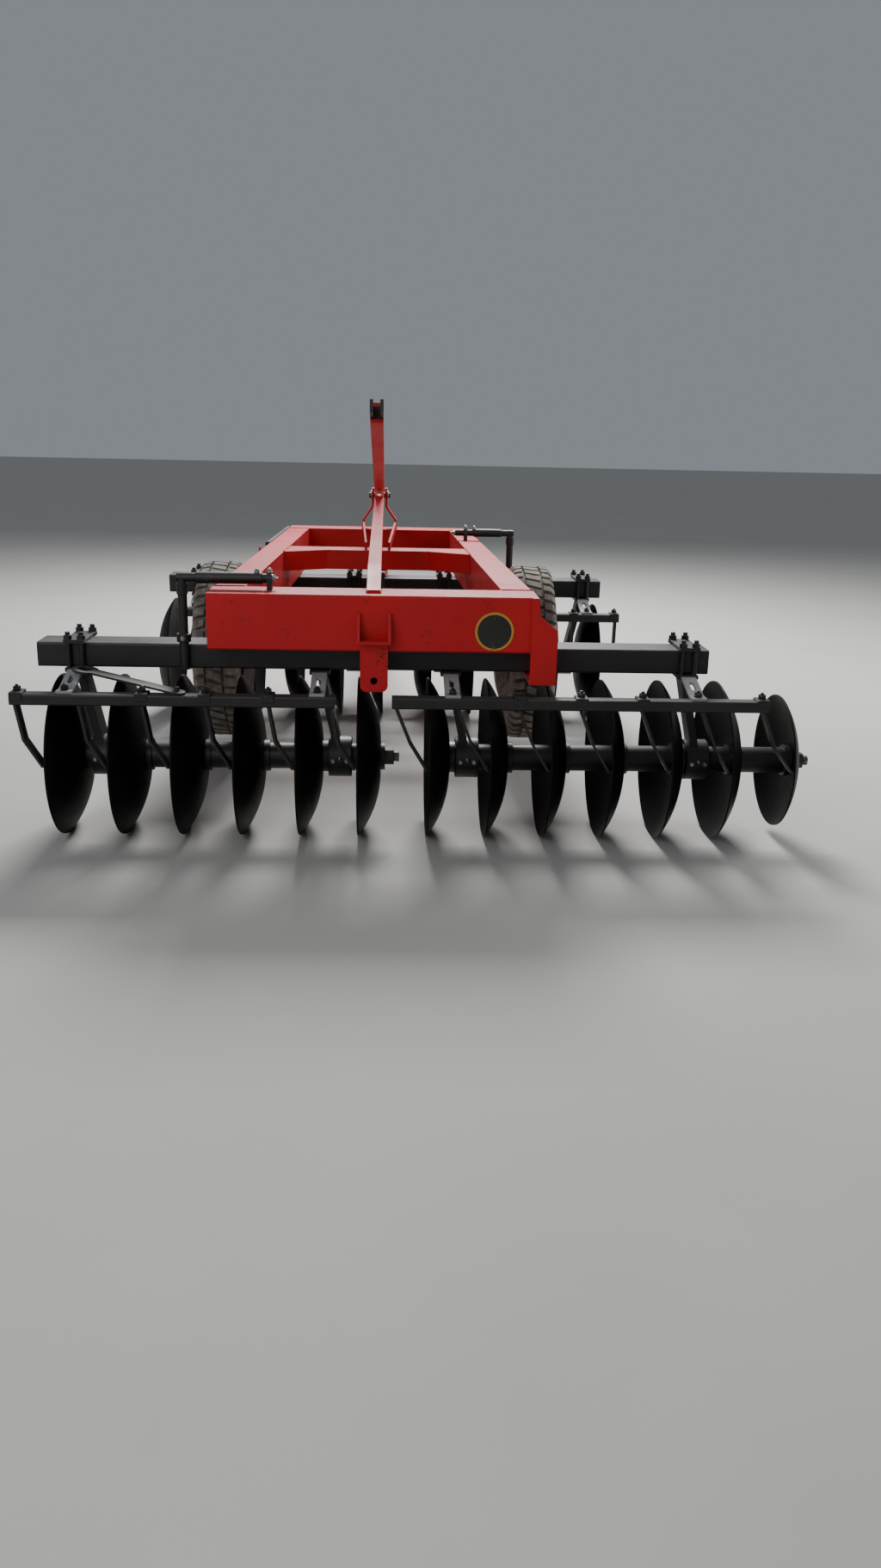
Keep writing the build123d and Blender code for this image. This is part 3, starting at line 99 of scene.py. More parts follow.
# Hardware and weld sizes
BAR_BOLT_ACROSS = 0.024
BAR_BOLT_HEIGHT = 0.014
CLAMP_WIDE = 0.044
CLAMP_DEEP = 0.067
CLAMP_THICK = 0.007
BAR_BOLT_TAIL = 0.007
WELD_RADIUS = 0.005
SMALL_WELD_RADIUS = 0.004
WELD_STEP = 0.005
BEARING_COVER_INNER = 0.063
BEARING_COVER_OUTER = 0.0765
BEARING_COVER_THICKNESS = 0.0028
BEARING_BOLT_ASIDE = 0.026
THREAD_TURNS = 8
THREAD_ROOT_DEPTH = 0.0004
THREAD_CREST = 0.0010
MAST_PIN_TAIL = 0.016

# A clamp is left out this near to a slotted arm, and this far to each side of the hitch tongue
ARM_KEEP_OUT = 0.055
TONGUE_KEEP_OUT_LEFT = 0.01
TONGUE_KEEP_OUT_RIGHT = 0.04

# The blank sign: how far right of the frame's middle, its height above the floor, and its radius
SIGN_ASIDE = 0.433
SIGN_HEIGHT = 0.828
SIGN_RADIUS = 0.070

# The spare bar: how far it starts behind the side beam's front end, its length, radius and how far
# it sits below the frame's top
SPARE_BAR_START = 0.10
SPARE_BAR_LENGTH = 0.95
SPARE_BAR_RADIUS = 0.013
SPARE_BAR_DROP = 0.010
HOOK_WALL = 0.0035

# Tread: lugs in each row round a tyre, and how high they stand on its carcass
TREAD_LUGS = 48
LUG_HEIGHT = 0.018

# Wheel nuts, the circle that they sit on, and how far the valve is from the axle
WHEEL_NUTS = 6
NUT_CIRCLE_RADIUS = 0.095
VALVE_FROM_AXLE = 0.165

# Black skin on the top link's fork, and the steps round its pin hole
SKIN_THICKNESS = 0.0006
SKIN_STEPS = 24


def place_camera():
    """A camera at the photograph's viewpoint."""
    data = bpy.data.cameras.new("photo_camera")
    data.sensor_fit = "HORIZONTAL"
    data.sensor_width = SENSOR_WIDTH
    data.lens = SENSOR_WIDTH * FOCAL_PIXELS / IMAGE_WIDTH
    data.clip_end = 200.0
    camera = bpy.data.objects.new("photo_camera", data)
    bpy.context.scene.collection.objects.link(camera)
    level = cos(CAMERA_PITCH)
    forward = Vector((sin(CAMERA_YAW) * level, cos(CAMERA_YAW) * level, -sin(CAMERA_PITCH)))
    right = Vector((cos(CAMERA_YAW), -sin(CAMERA_YAW), 0.0))
    up = right.cross(forward)
    rolled_right = right * cos(CAMERA_ROLL) + up * sin(CAMERA_ROLL)
    rolled_up = up * cos(CAMERA_ROLL) - right * sin(CAMERA_ROLL)
    turn = Matrix((rolled_right, rolled_up, -forward)).transposed()
    spot = Vector((MIDDLE_X + CAMERA_ASIDE, REAR_FACE_Y - CAMERA_BACK, CAMERA_HEIGHT))
    camera.matrix_world = Matrix.Translation(spot) @ turn.to_4x4()
    bpy.context.scene.camera = camera


def linear(hex_colour):
    """A linear RGBA colour from an sRGB hex value."""
    parts = [int(hex_colour[i : i + 2], 16) / 255 for i in (1, 3, 5)]
    return [p / 12.92 if p <= 0.04045 else ((p + 0.055) / 1.055) ** 2.4 for p in parts] + [1.0]


def add_node(tree, kind, settings=None, links=None):
    """Adds a node: settings are attributes or input values, links are sockets into its inputs."""
    node = tree.nodes.new(kind)
    for key, value in (settings or {}).items():
        if hasattr(node, key):
            setattr(node, key, value)
        else:
            node.inputs[key].default_value = value
    for key, socket in (links or {}).items():
        tree.links.new(socket, node.inputs[key])
    return node


def new_material(name, metallic, roughness):
    """An empty material, with its tree and shader."""
    material = bpy.data.materials.new(name)
    material.use_nodes = True
    shader = material.node_tree.nodes["Principled BSDF"]
    shader.inputs["Metallic"].default_value = metallic
    shader.inputs["Roughness"].default_value = roughness
    return material, material.node_tree, shader


def noise(tree, place, size, detail=3.0, rough=0.6):
    """Noise whose patches are about this many metres across."""
    settings = {"Scale": 1 / size, "Detail": detail, "Roughness": rough}
    return add_node(tree, "ShaderNodeTexNoise", settings, {"Vector": place}).outputs["Fac"]


def ramp(tree, value, low, high, to_low=0.0, to_high=1.0):
    """A value's stretch from low to high, spread from to_low to to_high."""
    settings = {"From Min": low, "From Max": high, "To Min": to_low, "To Max": to_high}
    return add_node(tree, "ShaderNodeMapRange", settings, {"Value": value}).outputs["Result"]


def combined(tree, operation, first, second):
    """Two values joined by a sum of this kind."""
    node = add_node(tree, "ShaderNodeMath", {"operation": operation}, {0: first, 1: second})
    return node.outputs["Value"]


def mixed(tree, share, first, second, blend="MIX"):
    """Two colours, each a socket or a linear colour, mixed by a share."""
    node = add_node(tree, "ShaderNodeMix", {"data_type": "RGBA", "blend_type": blend})
    for key, value in (("Factor", share), (6, first), (7, second)):
        if isinstance(value, (float, list)):
            node.inputs[key].default_value = value
        else:
            tree.links.new(value, node.inputs[key])
    return node.outputs[2]


def bumped(tree, height, depth, strength, below):
    """A normal raised by a height of this depth in metres, over the normal below."""
    settings = {"Strength": strength, "Distance": depth}
    links = {"Height": height, "Normal": below}
    return add_node(tree, "ShaderNodeBump", settings, links).outputs["Normal"]


def eased_edges(tree, radius):
    """A normal that rounds sharp edges, and how near each point is to such an edge."""
    rounded = add_node(tree, "ShaderNodeBevel", {"samples": 4, "Radius": radius}).outputs["Normal"]
    flat = add_node(tree, "ShaderNodeNewGeometry").outputs["True Normal"]
    settings = {"operation": "DOT_PRODUCT"}
    alike = add_node(tree, "ShaderNodeVectorMath", settings, {0: rounded, 1: flat}).outputs["Value"]
    return rounded, ramp(tree, alike, 0.99, 0.8)


def painted(name, colour, worn, dust_and_painted_light, roughness, peel, dust_and_painted_light_amount, wear, coat, gloss):
    """Sprayed enamel: faint mottling, edges and specks rubbed to what is under it, and a colour on upward
    faces that is field dust, and on the red a painted highlight of its lit tops.
    """
    material, tree, shader = new_material(name, 0.0, roughness)
    place = add_node(tree, "ShaderNodeTexCoord").outputs["Object"]
    rounded, edge = eased_edges(tree, 0.003)
    shade = ramp(tree, noise(tree, place, 0.16, 4.0), 0.3, 0.7, 0.9, 1.08)
    base = mixed(tree, 1.0, linear(colour), shade, "MULTIPLY")
    # Wear: broken along the edges, and rare specks on the flats
    speck = noise(tree, place, 0.011, 6.0, 0.72)
    rubbed = combined(tree, "MULTIPLY", edge, ramp(tree, speck, 0.5 - wear, 0.62 - wear))
    patchy = combined(tree, "MULTIPLY", speck, noise(tree, place, 0.12, 2.0))
    loss = combined(tree, "MAXIMUM", rubbed, ramp(tree, patchy, 0.385, 0.40))
    coated = mixed(tree, loss, base, linear(worn))
    # Dust lies in soft drifts on what faces up; on the red this upward-facing colour is a painted
    # highlight for its lit tops
    normal = add_node(tree, "ShaderNodeNewGeometry").outputs["Normal"]
    upward = add_node(tree, "ShaderNodeSeparateXYZ", None, {"Vector": normal}).outputs["Z"]
    patch_noise = noise(tree, place, 0.3, 6.0, 0.65)
    facing = ramp(tree, upward, -0.3, 1.0, 0.0, dust_and_painted_light_amount)
    dust_and_painted_light_share = combined(tree, "MULTIPLY", facing, ramp(tree, patch_noise, 0.3, 0.75, 0.35, 1.0))
    tree.links.new(mixed(tree, dust_and_painted_light_share, coated, linear(dust_and_painted_light)), shader.inputs["Base Color"])
    sheen = ramp(tree, patch_noise, 0.3, 0.7, roughness - 0.05, roughness + 0.14)
    tree.links.new(sheen, shader.inputs["Roughness"])
    shader.inputs["Specular IOR Level"].default_value = gloss
    shader.inputs["Coat Weight"].default_value = coat
    shader.inputs["Coat Roughness"].default_value = 0.15
    # Plate that isn't quite flat, under orange peel
    wave = bumped(tree, noise(tree, place, 0.2, 1.0), 0.003, 0.3, rounded)
    skin = bumped(tree, noise(tree, place, peel, 2.0), 0.0004, 0.25, wave)
    tree.links.new(skin, shader.inputs["Normal"])
    return material


def rubber(name, colour, dust_and_painted_light):
    """Moulded tyre rubber: dull, pitted, with a pale grey-brown over it that is partly dry soil and partly
    painted sunlight.
    """
    material, tree, shader = new_material(name, 0.0, 0.82)
    place = add_node(tree, "ShaderNodeTexCoord").outputs["Object"]
    rounded, edge = eased_edges(tree, 0.0025)
    # Pale grey-brown patches over the whole tyre: partly dry soil, partly painted sunlight that brightens
    # the rubber
    soil_and_sun_share = ramp(tree, noise(tree, place, 0.05, 6.0, 0.7), 0.35, 0.7, 0.2, 0.85)
    soil_and_sun_coloured = mixed(tree, soil_and_sun_share, linear(colour), linear(dust_and_painted_light))
    scuffed = mixed(tree, combined(tree, "MULTIPLY", edge, soil_and_sun_share), soil_and_sun_coloured, linear(dust_and_painted_light))
    tree.links.new(scuffed, shader.inputs["Base Color"])
    pits = bumped(tree, noise(tree, place, 0.002), 0.0006, 0.3, rounded)
    tree.links.new(pits, shader.inputs["Normal"])
    return material


def bare_metal(name, colour, dull, roughness, grain):
    """Turned, plated or blacked steel: uneven tone, dulled patches and edges, and fine tool marks."""
    material, tree, shader = new_material(name, 1.0, roughness)
    place = add_node(tree, "ShaderNodeTexCoord").outputs["Object"]
    rounded, edge = eased_edges(tree, 0.001)
    tone = noise(tree, place, 0.02, 5.0)
    dulled = mixed(tree, ramp(tree, tone, 0.35, 0.7), linear(colour), linear(dull))
    shine = mixed(tree, ramp(tree, edge, 0.0, 2.0), dulled, linear(colour))
    tree.links.new(shine, shader.inputs["Base Color"])
    sheen = ramp(tree, tone, 0.3, 0.7, roughness - 0.08, roughness + 0.15)
    tree.links.new(sheen, shader.inputs["Roughness"])
    marks = bumped(tree, noise(tree, place, grain, 2.0), 0.0002, 0.3, rounded)
    tree.links.new(marks, shader.inputs["Normal"])
    return material


def floor_paint():
    """A pale matt floor with a trace of unevenness."""
    material, tree, shader = new_material("pale_matt_floor", 0.0, 0.85)
    place = add_node(tree, "ShaderNodeTexCoord").outputs["Object"]
    shade = ramp(tree, noise(tree, place, 0.8, 4.0), 0.3, 0.7, 0.97, 1.03)
    tree.links.new(mixed(tree, 1.0, linear("#b9b7b2"), shade, "MULTIPLY"), shader.inputs["Base Color"])
    return material


# Red enamel reads bright and pinkish where the sky lights it, and deep in shade: its pinkish colour on
# upward faces is a painted highlight for those lit tops, not dust
RED = painted("red_sprayed_enamel", "#bc0d18", "#4a1a18", "#d2605c", 0.46, 0.0025, 0.24, 0.0, 0.04, 0.28)
# Satin black reads near black on its sides and grey on its dusty tops
BLACK = painted("black_satin_enamel", "#0b0b0d", "#3a3632", "#8d8a84", 0.42, 0.0022, 0.30, 0.02, 0.05, 0.4)
# The discs were dipped, so their black is deeper and duller, rubbed at the rims
DISC = painted("black_dipped_enamel", "#050506", "#34302c", "#45413b", 0.50, 0.003, 0.12, 0.02, 0.0, 0.15)
# The slotted arms read as a lighter, duller grey
GREY = painted("grey_primed_plate", "#8e9194", "#4a4540", "#c4c1ba", 0.45, 0.002, 0.5, 0.03, 0.05, 0.4)
# The tyres read pale grey-brown: partly dry soil, partly painted sunlight on the rubber
RUBBER = rubber("rubber_with_dust_and_painted_sun", "#242424", "#9c9287")
# Plated nuts and washers read pale and dull, the rod bright, the bar's bolts dark
ZINC = bare_metal("zinc_plated_steel", "#b4b2aa", "#7d7a70", 0.34, 0.0012)
CHROME = bare_metal("hard_chromed_rod", "#d0d2d4", "#aeb0b2", 0.14, 0.0006)
BLACKED = bare_metal("oil_blacked_steel", "#4a4846", "#2e2c2a", 0.40, 0.001)
# The blank round sign: a thin gold ring round a dark field
GOLD = painted("gold_sign_enamel", "#c08a2a", "#6f5a34", "#d9c69a", 0.38, 0.002, 0.1, 0.03, 0.3, 0.5)
SIGN = painted("black_sign_enamel", "#1d1c1a", "#3a362f", "#6d675c", 0.42, 0.002, 0.15, 0.02, 0.2, 0.4)

FINISH_OF_SLOT = {
    "red_enamel": RED,
    "black_enamel": BLACK,
    "disc_steel": DISC,
    "grey_plate": GREY,
    "tyre_rubber": RUBBER,
    "chromed_rod": CHROME,
}
# Nodes whose finish isn't their slot's: the brace is dark where the slotted arms are light
FINISH_OF_NODE = {"rear_scraper_brace": BLACK}


def paint_nodes():
    """Gives each carried-over node the finish of its slot."""
    slots = {part["node"]: part["material_slot"] for part in frame["record"]["subparts"]}
    for name, node in nodes.items():
        finish = FINISH_OF_NODE.get(name, FINISH_OF_SLOT[slots[name]])
        if not node.data.materials:
            node.data.materials.append(finish)
        for entry in node.material_slots:
            entry.material = finish


def solids_of(node_name):
    """The points of each separate solid in a node, from left to right."""
    node = nodes[node_name]
    keys = [tuple(round(c, 5) for c in node.matrix_world @ v.co) for v in node.data.vertices]
    owner = {key: key for key in keys}

    def root(key):
        while owner[key] != key:
            owner[key] = owner[owner[key]]
            key = owner[key]
        return key

    for face in node.data.polygons:
        first = root(keys[face.vertices[0]])
        for index in face.vertices:
            owner[root(keys[index])] = first
    groups = {}
    for key in owner:
        groups.setdefault(root(key), []).append(key)
    return sorted(groups.values(), key=lambda points: middle(points, 0))


def reach(points, axis):
    """The lowest and highest of the points along an axis."""
    values = [point[axis] for point in points]
    return min(values), max(values)


def middle(points, axis):
    """Halfway between the lowest and highest of the points along an axis."""
    low, high = reach(points, axis)
    return (low + high) / 2


def square_to(axis):
    """Two directions square to an axis and to each other."""
    side = X_AXIS if abs(axis.x) < 0.9 else Y_AXIS
    first = axis.cross(side).normalized()
    return first, axis.cross(first).normalized()


def lathe(bm, profile, origin, axis, steps=24):
    """Turns a profile of (distance along the axis, radius) points about the axis."""
    first, second = square_to(axis)
    rings = []
    for along, radius in profile:
        centre = origin + axis * along
        if radius == 0.0:
            rings.append([bm.verts.new(centre)])
            continue
        angles = [2 * pi * k / steps for k in range(steps)]
        spots = [centre + (first * cos(a) + second * sin(a)) * radius for a in angles]
        rings.append([bm.verts.new(spot) for spot in spots])
    for low, high in zip(rings, rings[1:]):
        for k in range(steps):
            nxt = k + 1
            corners = [
                low[k % len(low)],
                low[nxt % len(low)],
                high[nxt % len(high)],
                high[k % len(high)],
            ]
            corners = list(dict.fromkeys(corners))
            if len(corners) > 2:
                bm.faces.new(corners)


def ring(bm, origin, axis, inner, outer, length, ease=0.001, steps=32):
    """A collar round an axis with eased outer edges."""
    profile = [
        (0, inner),
        (0, outer - ease),
        (ease, outer),
        (length - ease, outer),
        (length, outer - ease),
        (length, inner),
    ]
    lathe(bm, profile, origin, axis, steps)


def rod(bm, start, end, radius, steps=10):
    """A round rod between two points."""
    run = end - start
    profile = [(0, 0), (0, radius), (run.length, radius), (run.length, 0)]
    lathe(bm, profile, start, run.normalized(), steps)


def prism(bm, outline, origin, u, v, depth, edge=0.0):
    """A plate: an outline in the directions u and v, pushed out by depth, its edges eased."""
    near = [bm.verts.new(origin + u * a + v * b) for a, b in outline]
    far = [bm.verts.new(origin + u * a + v * b + depth) for a, b in outline]
    faces = [bm.faces.new(near[::-1]), bm.faces.new(far)]
    for k in range(len(outline)):
        nxt = (k + 1) % len(outline)
        faces.append(bm.faces.new((near[k], near[nxt], far[nxt], far[k])))
    if edge:
        edges = list({e for f in faces for e in f.edges})
        bmesh.ops.bevel(bm, geom=edges, offset=edge, segments=2, affect="EDGES", clamp_overlap=True)


def block(bm, low, high, edge=0.0012):
    """A rectangular piece between two corners, its edges eased."""
    size = high - low
    outline = [(0, 0), (size.x, 0), (size.x, size.y), (0, size.y)]
    prism(bm, outline, low, X_AXIS, Y_AXIS, Z_AXIS * size.z, edge)


def hex_bolt(bm, seat, axis, wide, tall, tail=0.0, washer=0.0025):
    """A hexagon head or nut on its washer, with a stub of thread standing out of it."""
    half = wide / 2
    if washer:
        lathe(bm, [(0, 0), (0, half * 1.25), (washer, half * 1.2), (washer, 0)], seat, axis, 24)
    corner = half / cos(pi / 6)
    top = washer + tall
    head = [
        (washer, 0),
        (washer, corner * 0.96),
        (washer + tall * 0.1, corner),
        (washer + tall * 0.85, corner),
        (top, corner * 0.88),
        (top, 0),
    ]
    lathe(bm, head, seat, axis, 6)
    if tail:
        stub = half * 0.52
        thread = [(top, stub), (top + tail * 0.8, stub), (top + tail, stub * 0.7), (top + tail, 0)]
        lathe(bm, thread, seat, axis, 12)


def weld(bm, points, radius=WELD_RADIUS):
    """A rippled bead laid along a line of points."""
    for start, end in zip(points, points[1:]):
        run = end - start
        count = max(4, int(run.length / WELD_STEP))
        profile = [(0, 0)]
        for k in range(count + 1):
            swell = 1.0 if k % 2 else 0.84
            profile.append((run.length * k / count, radius * swell))
        profile.append((run.length, 0))
        lathe(bm, profile, start, run.normalized(), 8)


def make_piece(name, fill, finish, body, smooth=True):
    """A new mesh piece: fill(bm) builds it, and it takes a finish and a slot and rides on a body."""
    mesh = bpy.data.meshes.new(name)
    bm = bmesh.new()
    fill(bm)
    bmesh.ops.recalc_face_normals(bm, faces=bm.faces)
    bm.to_mesh(mesh)
    bm.free()
    for face in mesh.polygons:
        face.use_smooth = smooth
    if smooth:
        mesh.set_sharp_from_angle(angle=radians(38))
    mesh.materials.append(finish)
    piece = bpy.data.objects.new(name, mesh)
    bpy.context.scene.collection.objects.link(piece)
    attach(piece, body)
    return piece


def tyre(side):
    """A tyre with bead, bulging ribbed walls, a crowned tread and three rows of lugs."""
    low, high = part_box(f"{side}_tyre")
    centre = (low + high) / 2
    tip = (high.z - low.z) / 2
    half = (high.x - low.x) / 2
    rim_low, rim_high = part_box(f"{side}_rim")
    bead = (rim_high.z - rim_low.z) / 2
    bead_half = (rim_high.x - rim_low.x) / 2
    crown = tip - LUG_HEIGHT
    wall = crown - bead
    pitch = 2 * pi / TREAD_LUGS

    def carcass(bm):
        # From the bead over the shoulder to the crown: (distance from the middle, radius)
        outline = [
            (bead_half, bead + 0.001),
            (bead_half + 0.008, bead + 0.014),
            (half * 0.90, bead + wall * 0.22),
            (half * 0.985, bead + wall * 0.45),
            (half * 0.97, bead + wall * 0.66),
            (half * 0.90, bead + wall * 0.86),
            (half * 0.80, bead + wall * 0.96),
            (half * 0.45, crown - 0.002),
            (0.0, crown),
        ]
        profile = [(-x, radius) for x, radius in outline] + outline[-2::-1]
        lathe(bm, profile, centre, X_AXIS, 96)
        # Moulded ribs round the walls: (share of half the width, share of the wall's height)
        for share, rise in ((0.93, 0.28), (0.986, 0.52)):
            for sign in (-1, 1):
                x = sign * half * share
                radius = bead + wall * rise
                rib = [(x, radius - 0.005), (x + sign * 0.0014, radius), (x, radius + 0.005)]
                lathe(bm, rib, centre, X_AXIS, 96)

    def lug(bm, stations, turned, length):
        # Each station: (distance from the middle, depth under the tips, turn along the tread)
        loops = []
        for x, drop, turn in stations:
            top = tip - drop
            foot = top - LUG_HEIGHT * 1.3
            wide = length / tip / 2
            loop = []
            for aside, radius in ((-wide * 1.2, foot), (-wide, top), (wide, top), (wide * 1.2, foot)):
                angle = turned + turn * pitch + aside
                loop.append(bm.verts.new(centre + Vector((x, cos(angle) * radius, sin(angle) * radius))))
            loops.append(loop)
        for inner, outer in zip(loops, loops[1:]):
            for c in range(3):
                bm.faces.new((inner[c], inner[c + 1], outer[c + 1], outer[c]))
        bm.faces.new(loops[0])
        bm.faces.new(loops[-1])

    def fill(bm):
        carcass(bm)
        for k in range(TREAD_LUGS):
            lug(bm, [(-half * 0.30, 0.0, -0.22), (half * 0.30, 0.0, 0.22)], k * pitch, 0.034)
            for sign in (-1, 1):
                shoulder = [
                    (sign * half * 0.40, 0.001, 0.0),
                    (sign * half * 0.70, 0.004, 0.12),
                    (sign * half * 0.87, 0.021, 0.18),
                    (sign * half * 0.94, 0.054, 0.22),
                ]
                lug(bm, shoulder, (k + 0.5) * pitch, 0.031)

    piece = make_piece(f"{side}_lugged_tyre", fill, RUBBER, f"{side}_wheel")
    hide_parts(f"{side}_tyre")


def wheel_hardware(side):
    """Wheel nuts round the hub, a valve, and a dust cap on the hub's end."""
    low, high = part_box(f"{side}_rim")
    centre = (low + high) / 2
    axis = X_AXIS if side == "right" else -X_AXIS
    hub_end = centre + axis * (HUB_HALF_LENGTH - 0.002)

    def nuts(bm):
        web = centre + axis * WEB_HALF
        for k in range(WHEEL_NUTS):
            angle = 2 * pi * k / WHEEL_NUTS
            seat = web + (Y_AXIS * cos(angle) + Z_AXIS * sin(angle)) * NUT_CIRCLE_RADIUS
            hex_bolt(bm, seat, axis, 0.027, 0.016, 0.012)
        valve = [(0, 0.006), (0.020, 0.005), (0.022, 0.0035), (0.034, 0.0035), (0.036, 0.0)]
        lathe(bm, valve, web + Z_AXIS * VALVE_FROM_AXLE, axis, 12)

    make_piece(f"{side}_wheel_nuts", nuts, ZINC, f"{side}_wheel")

    def cap(bm):
        profile = [(0, 0.0), (0, 0.044), (0.012, 0.043), (0.019, 0.036), (0.022, 0.02), (0.022, 0)]
        lathe(bm, profile, hub_end, axis, 32)

    make_piece(f"{side}_hub_cap", cap, BLACK, f"{side}_wheel")


def scraper_clamps(row):
    """Clamp plates and bolts that hold the scrapers to their bar, and bolts through the slotted arms."""
    bars = solids_of(f"{row}_scraper_bars")
    bar_top = reach(bars[0], 2)[1]
    bar_y = middle(bars[0], 1)
    tongue_low, tongue_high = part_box("rear_hitch")
    arm_places = [middle(points, 0) for points in solids_of(f"{row}_scraper_arms")]
    clamp_places = []
    for points in solids_of(f"{row}_scrapers"):
        low_x, high_x = reach(points, 0)
        # A rear scraper's foot slants to the right from its stem, a front one's to the left
        x = low_x + STEM_HALF if row == "rear" else high_x - STEM_HALF
        bar = next(bar for bar in bars if reach(bar, 0)[0] - 0.001 < x < reach(bar, 0)[1] + 0.001)
        margin = CLAMP_WIDE / 2 + 0.002
        x = min(max(x, reach(bar, 0)[0] + margin), reach(bar, 0)[1] - margin)
        by_arm = any(abs(x - arm) < ARM_KEEP_OUT for arm in arm_places)
        # None under the hitch tongue, which passes closely over the bar as the gangs swing
        tongue_start = tongue_low.x - TONGUE_KEEP_OUT_LEFT
        tongue_end = tongue_high.x + TONGUE_KEEP_OUT_RIGHT
        under_tongue = row == "rear" and tongue_start < x < tongue_end
        if not by_arm and not under_tongue:
            clamp_places.append(x)

    def plates(bm):
        for x in clamp_places:
            corner = Vector((x - CLAMP_WIDE / 2, bar_y - CLAMP_DEEP / 2, bar_top))
            block(bm, corner, corner + Vector((CLAMP_WIDE, CLAMP_DEEP, CLAMP_THICK)))
            for end in (-1, 1):
                cheek_y = bar_y + end * (CLAMP_DEEP - CLAMP_THICK) / 2
                low = Vector((x - CLAMP_WIDE / 2, cheek_y - CLAMP_THICK / 2, bar_top - 0.022))
                block(bm, low, low + Vector((CLAMP_WIDE, CLAMP_THICK, 0.025)))

    make_piece(f"{row}_bar_clamp_plates", plates, BLACK, f"{row}_gang_frame", False)

    def bolts(bm):
        for x in clamp_places:
            seat = Vector((x, bar_y, bar_top + CLAMP_THICK))
            hex_bolt(bm, seat, Z_AXIS, BAR_BOLT_ACROSS, BAR_BOLT_HEIGHT, BAR_BOLT_TAIL)
        for x in arm_places:
            seat = Vector((x, bar_y + 0.006, bar_top + ARM_THICKNESS))
            hex_bolt(bm, seat, Z_AXIS, BAR_BOLT_ACROSS, BAR_BOLT_HEIGHT, BAR_BOLT_TAIL)

    make_piece(f"{row}_bar_clamp_bolts", bolts, BLACKED, f"{row}_gang_frame")


def bearing_hardware(row):
    """Seal covers on each gang bearing's faces, and a grease nipple between two bolts behind it."""
    shaft_low, shaft_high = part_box(f"{row}_left_gang_shaft")
    axle_y = (shaft_low.y + shaft_high.y) / 2
    axle_z = (shaft_low.z + shaft_high.z) / 2
    places = []
    for points in solids_of(f"{row}_hangers"):
        bottom = reach(points, 2)[0]
        places.append(middle([point for point in points if point[2] < bottom + 0.02], 0))

    def covers(bm):
        for x in places:
            for sign in (-1, 1):
                face = Vector((x + sign * BEARING_HALF_LENGTH, axle_y, axle_z))
                ring(
                    bm,
                    face - X_AXIS * sign * 0.001,
                    X_AXIS * sign,
                    BEARING_COVER_INNER,
                    BEARING_COVER_OUTER,
                    BEARING_COVER_THICKNESS,
                    0.0005,
                    40,
                )

    make_piece(f"{row}_bearing_covers", covers, BLACK, f"{row}_gang_frame")

    def fittings(bm):
        for x in places:
            nipple = Vector((x, axle_y - BEARING_RADIUS + 0.002, axle_z + 0.01))
            neck = [(0, 0.007), (0.008, 0.007), (0.010, 0.004)]
            head = [(0.016, 0.0045), (0.018, 0.002), (0.018, 0)]
            lathe(bm, neck + head, nipple, -Y_AXIS, 12)
            for end in (-1, 1):
                seat = Vector((x + end * BEARING_BOLT_ASIDE, axle_y - BEARING_RADIUS * 0.985, axle_z))
                hex_bolt(bm, seat, -Y_AXIS, 0.014, 0.007, 0.0, 0.002)

    make_piece(f"{row}_bearing_fittings", fittings, ZINC, f"{row}_gang_frame")


def gang_ends(row, side):
    """Thread on the gang bolt's two tails, with a split pin through each."""
    low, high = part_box(f"{row}_{side}_gang_shaft")
    axle_y = (low.y + high.y) / 2
    axle_z = (low.z + high.z) / 2
    step = (BOLT_TAIL - 0.002) / THREAD_TURNS

    def fill(bm):
        for x, sign in ((low.x, 1), (high.x, -1)):
            end = Vector((x, axle_y, axle_z))
            profile = [(0.001, 0.0)]
            for k in range(THREAD_TURNS):
                profile.append((0.001 + step * k, GANG_BOLT_RADIUS - THREAD_ROOT_DEPTH))
                profile.append((0.001 + step * (k + 0.5), GANG_BOLT_RADIUS + THREAD_CREST))
            profile.append((BOLT_TAIL, GANG_BOLT_RADIUS - THREAD_ROOT_DEPTH))
            lathe(bm, profile, end, X_AXIS * sign, 24)
            hole = end + X_AXIS * sign * 0.009
            rod(bm, hole - Y_AXIS * 0.029, hole + Y_AXIS * 0.027, 0.0028)

    make_piece(f"{row}_{side}_gang_bolt_thread", fill, ZINC, f"{row}_{side}_gang")


def sign_plate():
    """A blank round sign on the rear beam: a thin gold ring round a dark field."""
    centre = Vector((MIDDLE_X + SIGN_ASIDE, REAR_FACE_Y, SIGN_HEIGHT))
    radius = SIGN_RADIUS

    def rim(bm):
        ring(bm, centre, -Y_AXIS, radius - 0.009, radius, 0.0026, 0.0008, 72)

    def field(bm):
        edge = radius - 0.0088
        profile = [(0, edge), (0.0012, edge), (0.0016, radius - 0.012), (0.0016, 0)]
        lathe(bm, profile, centre, -Y_AXIS, 72)

    make_piece("rear_sign_ring", rim, GOLD, "frame")
    make_piece("rear_sign_field", field, SIGN, "frame")


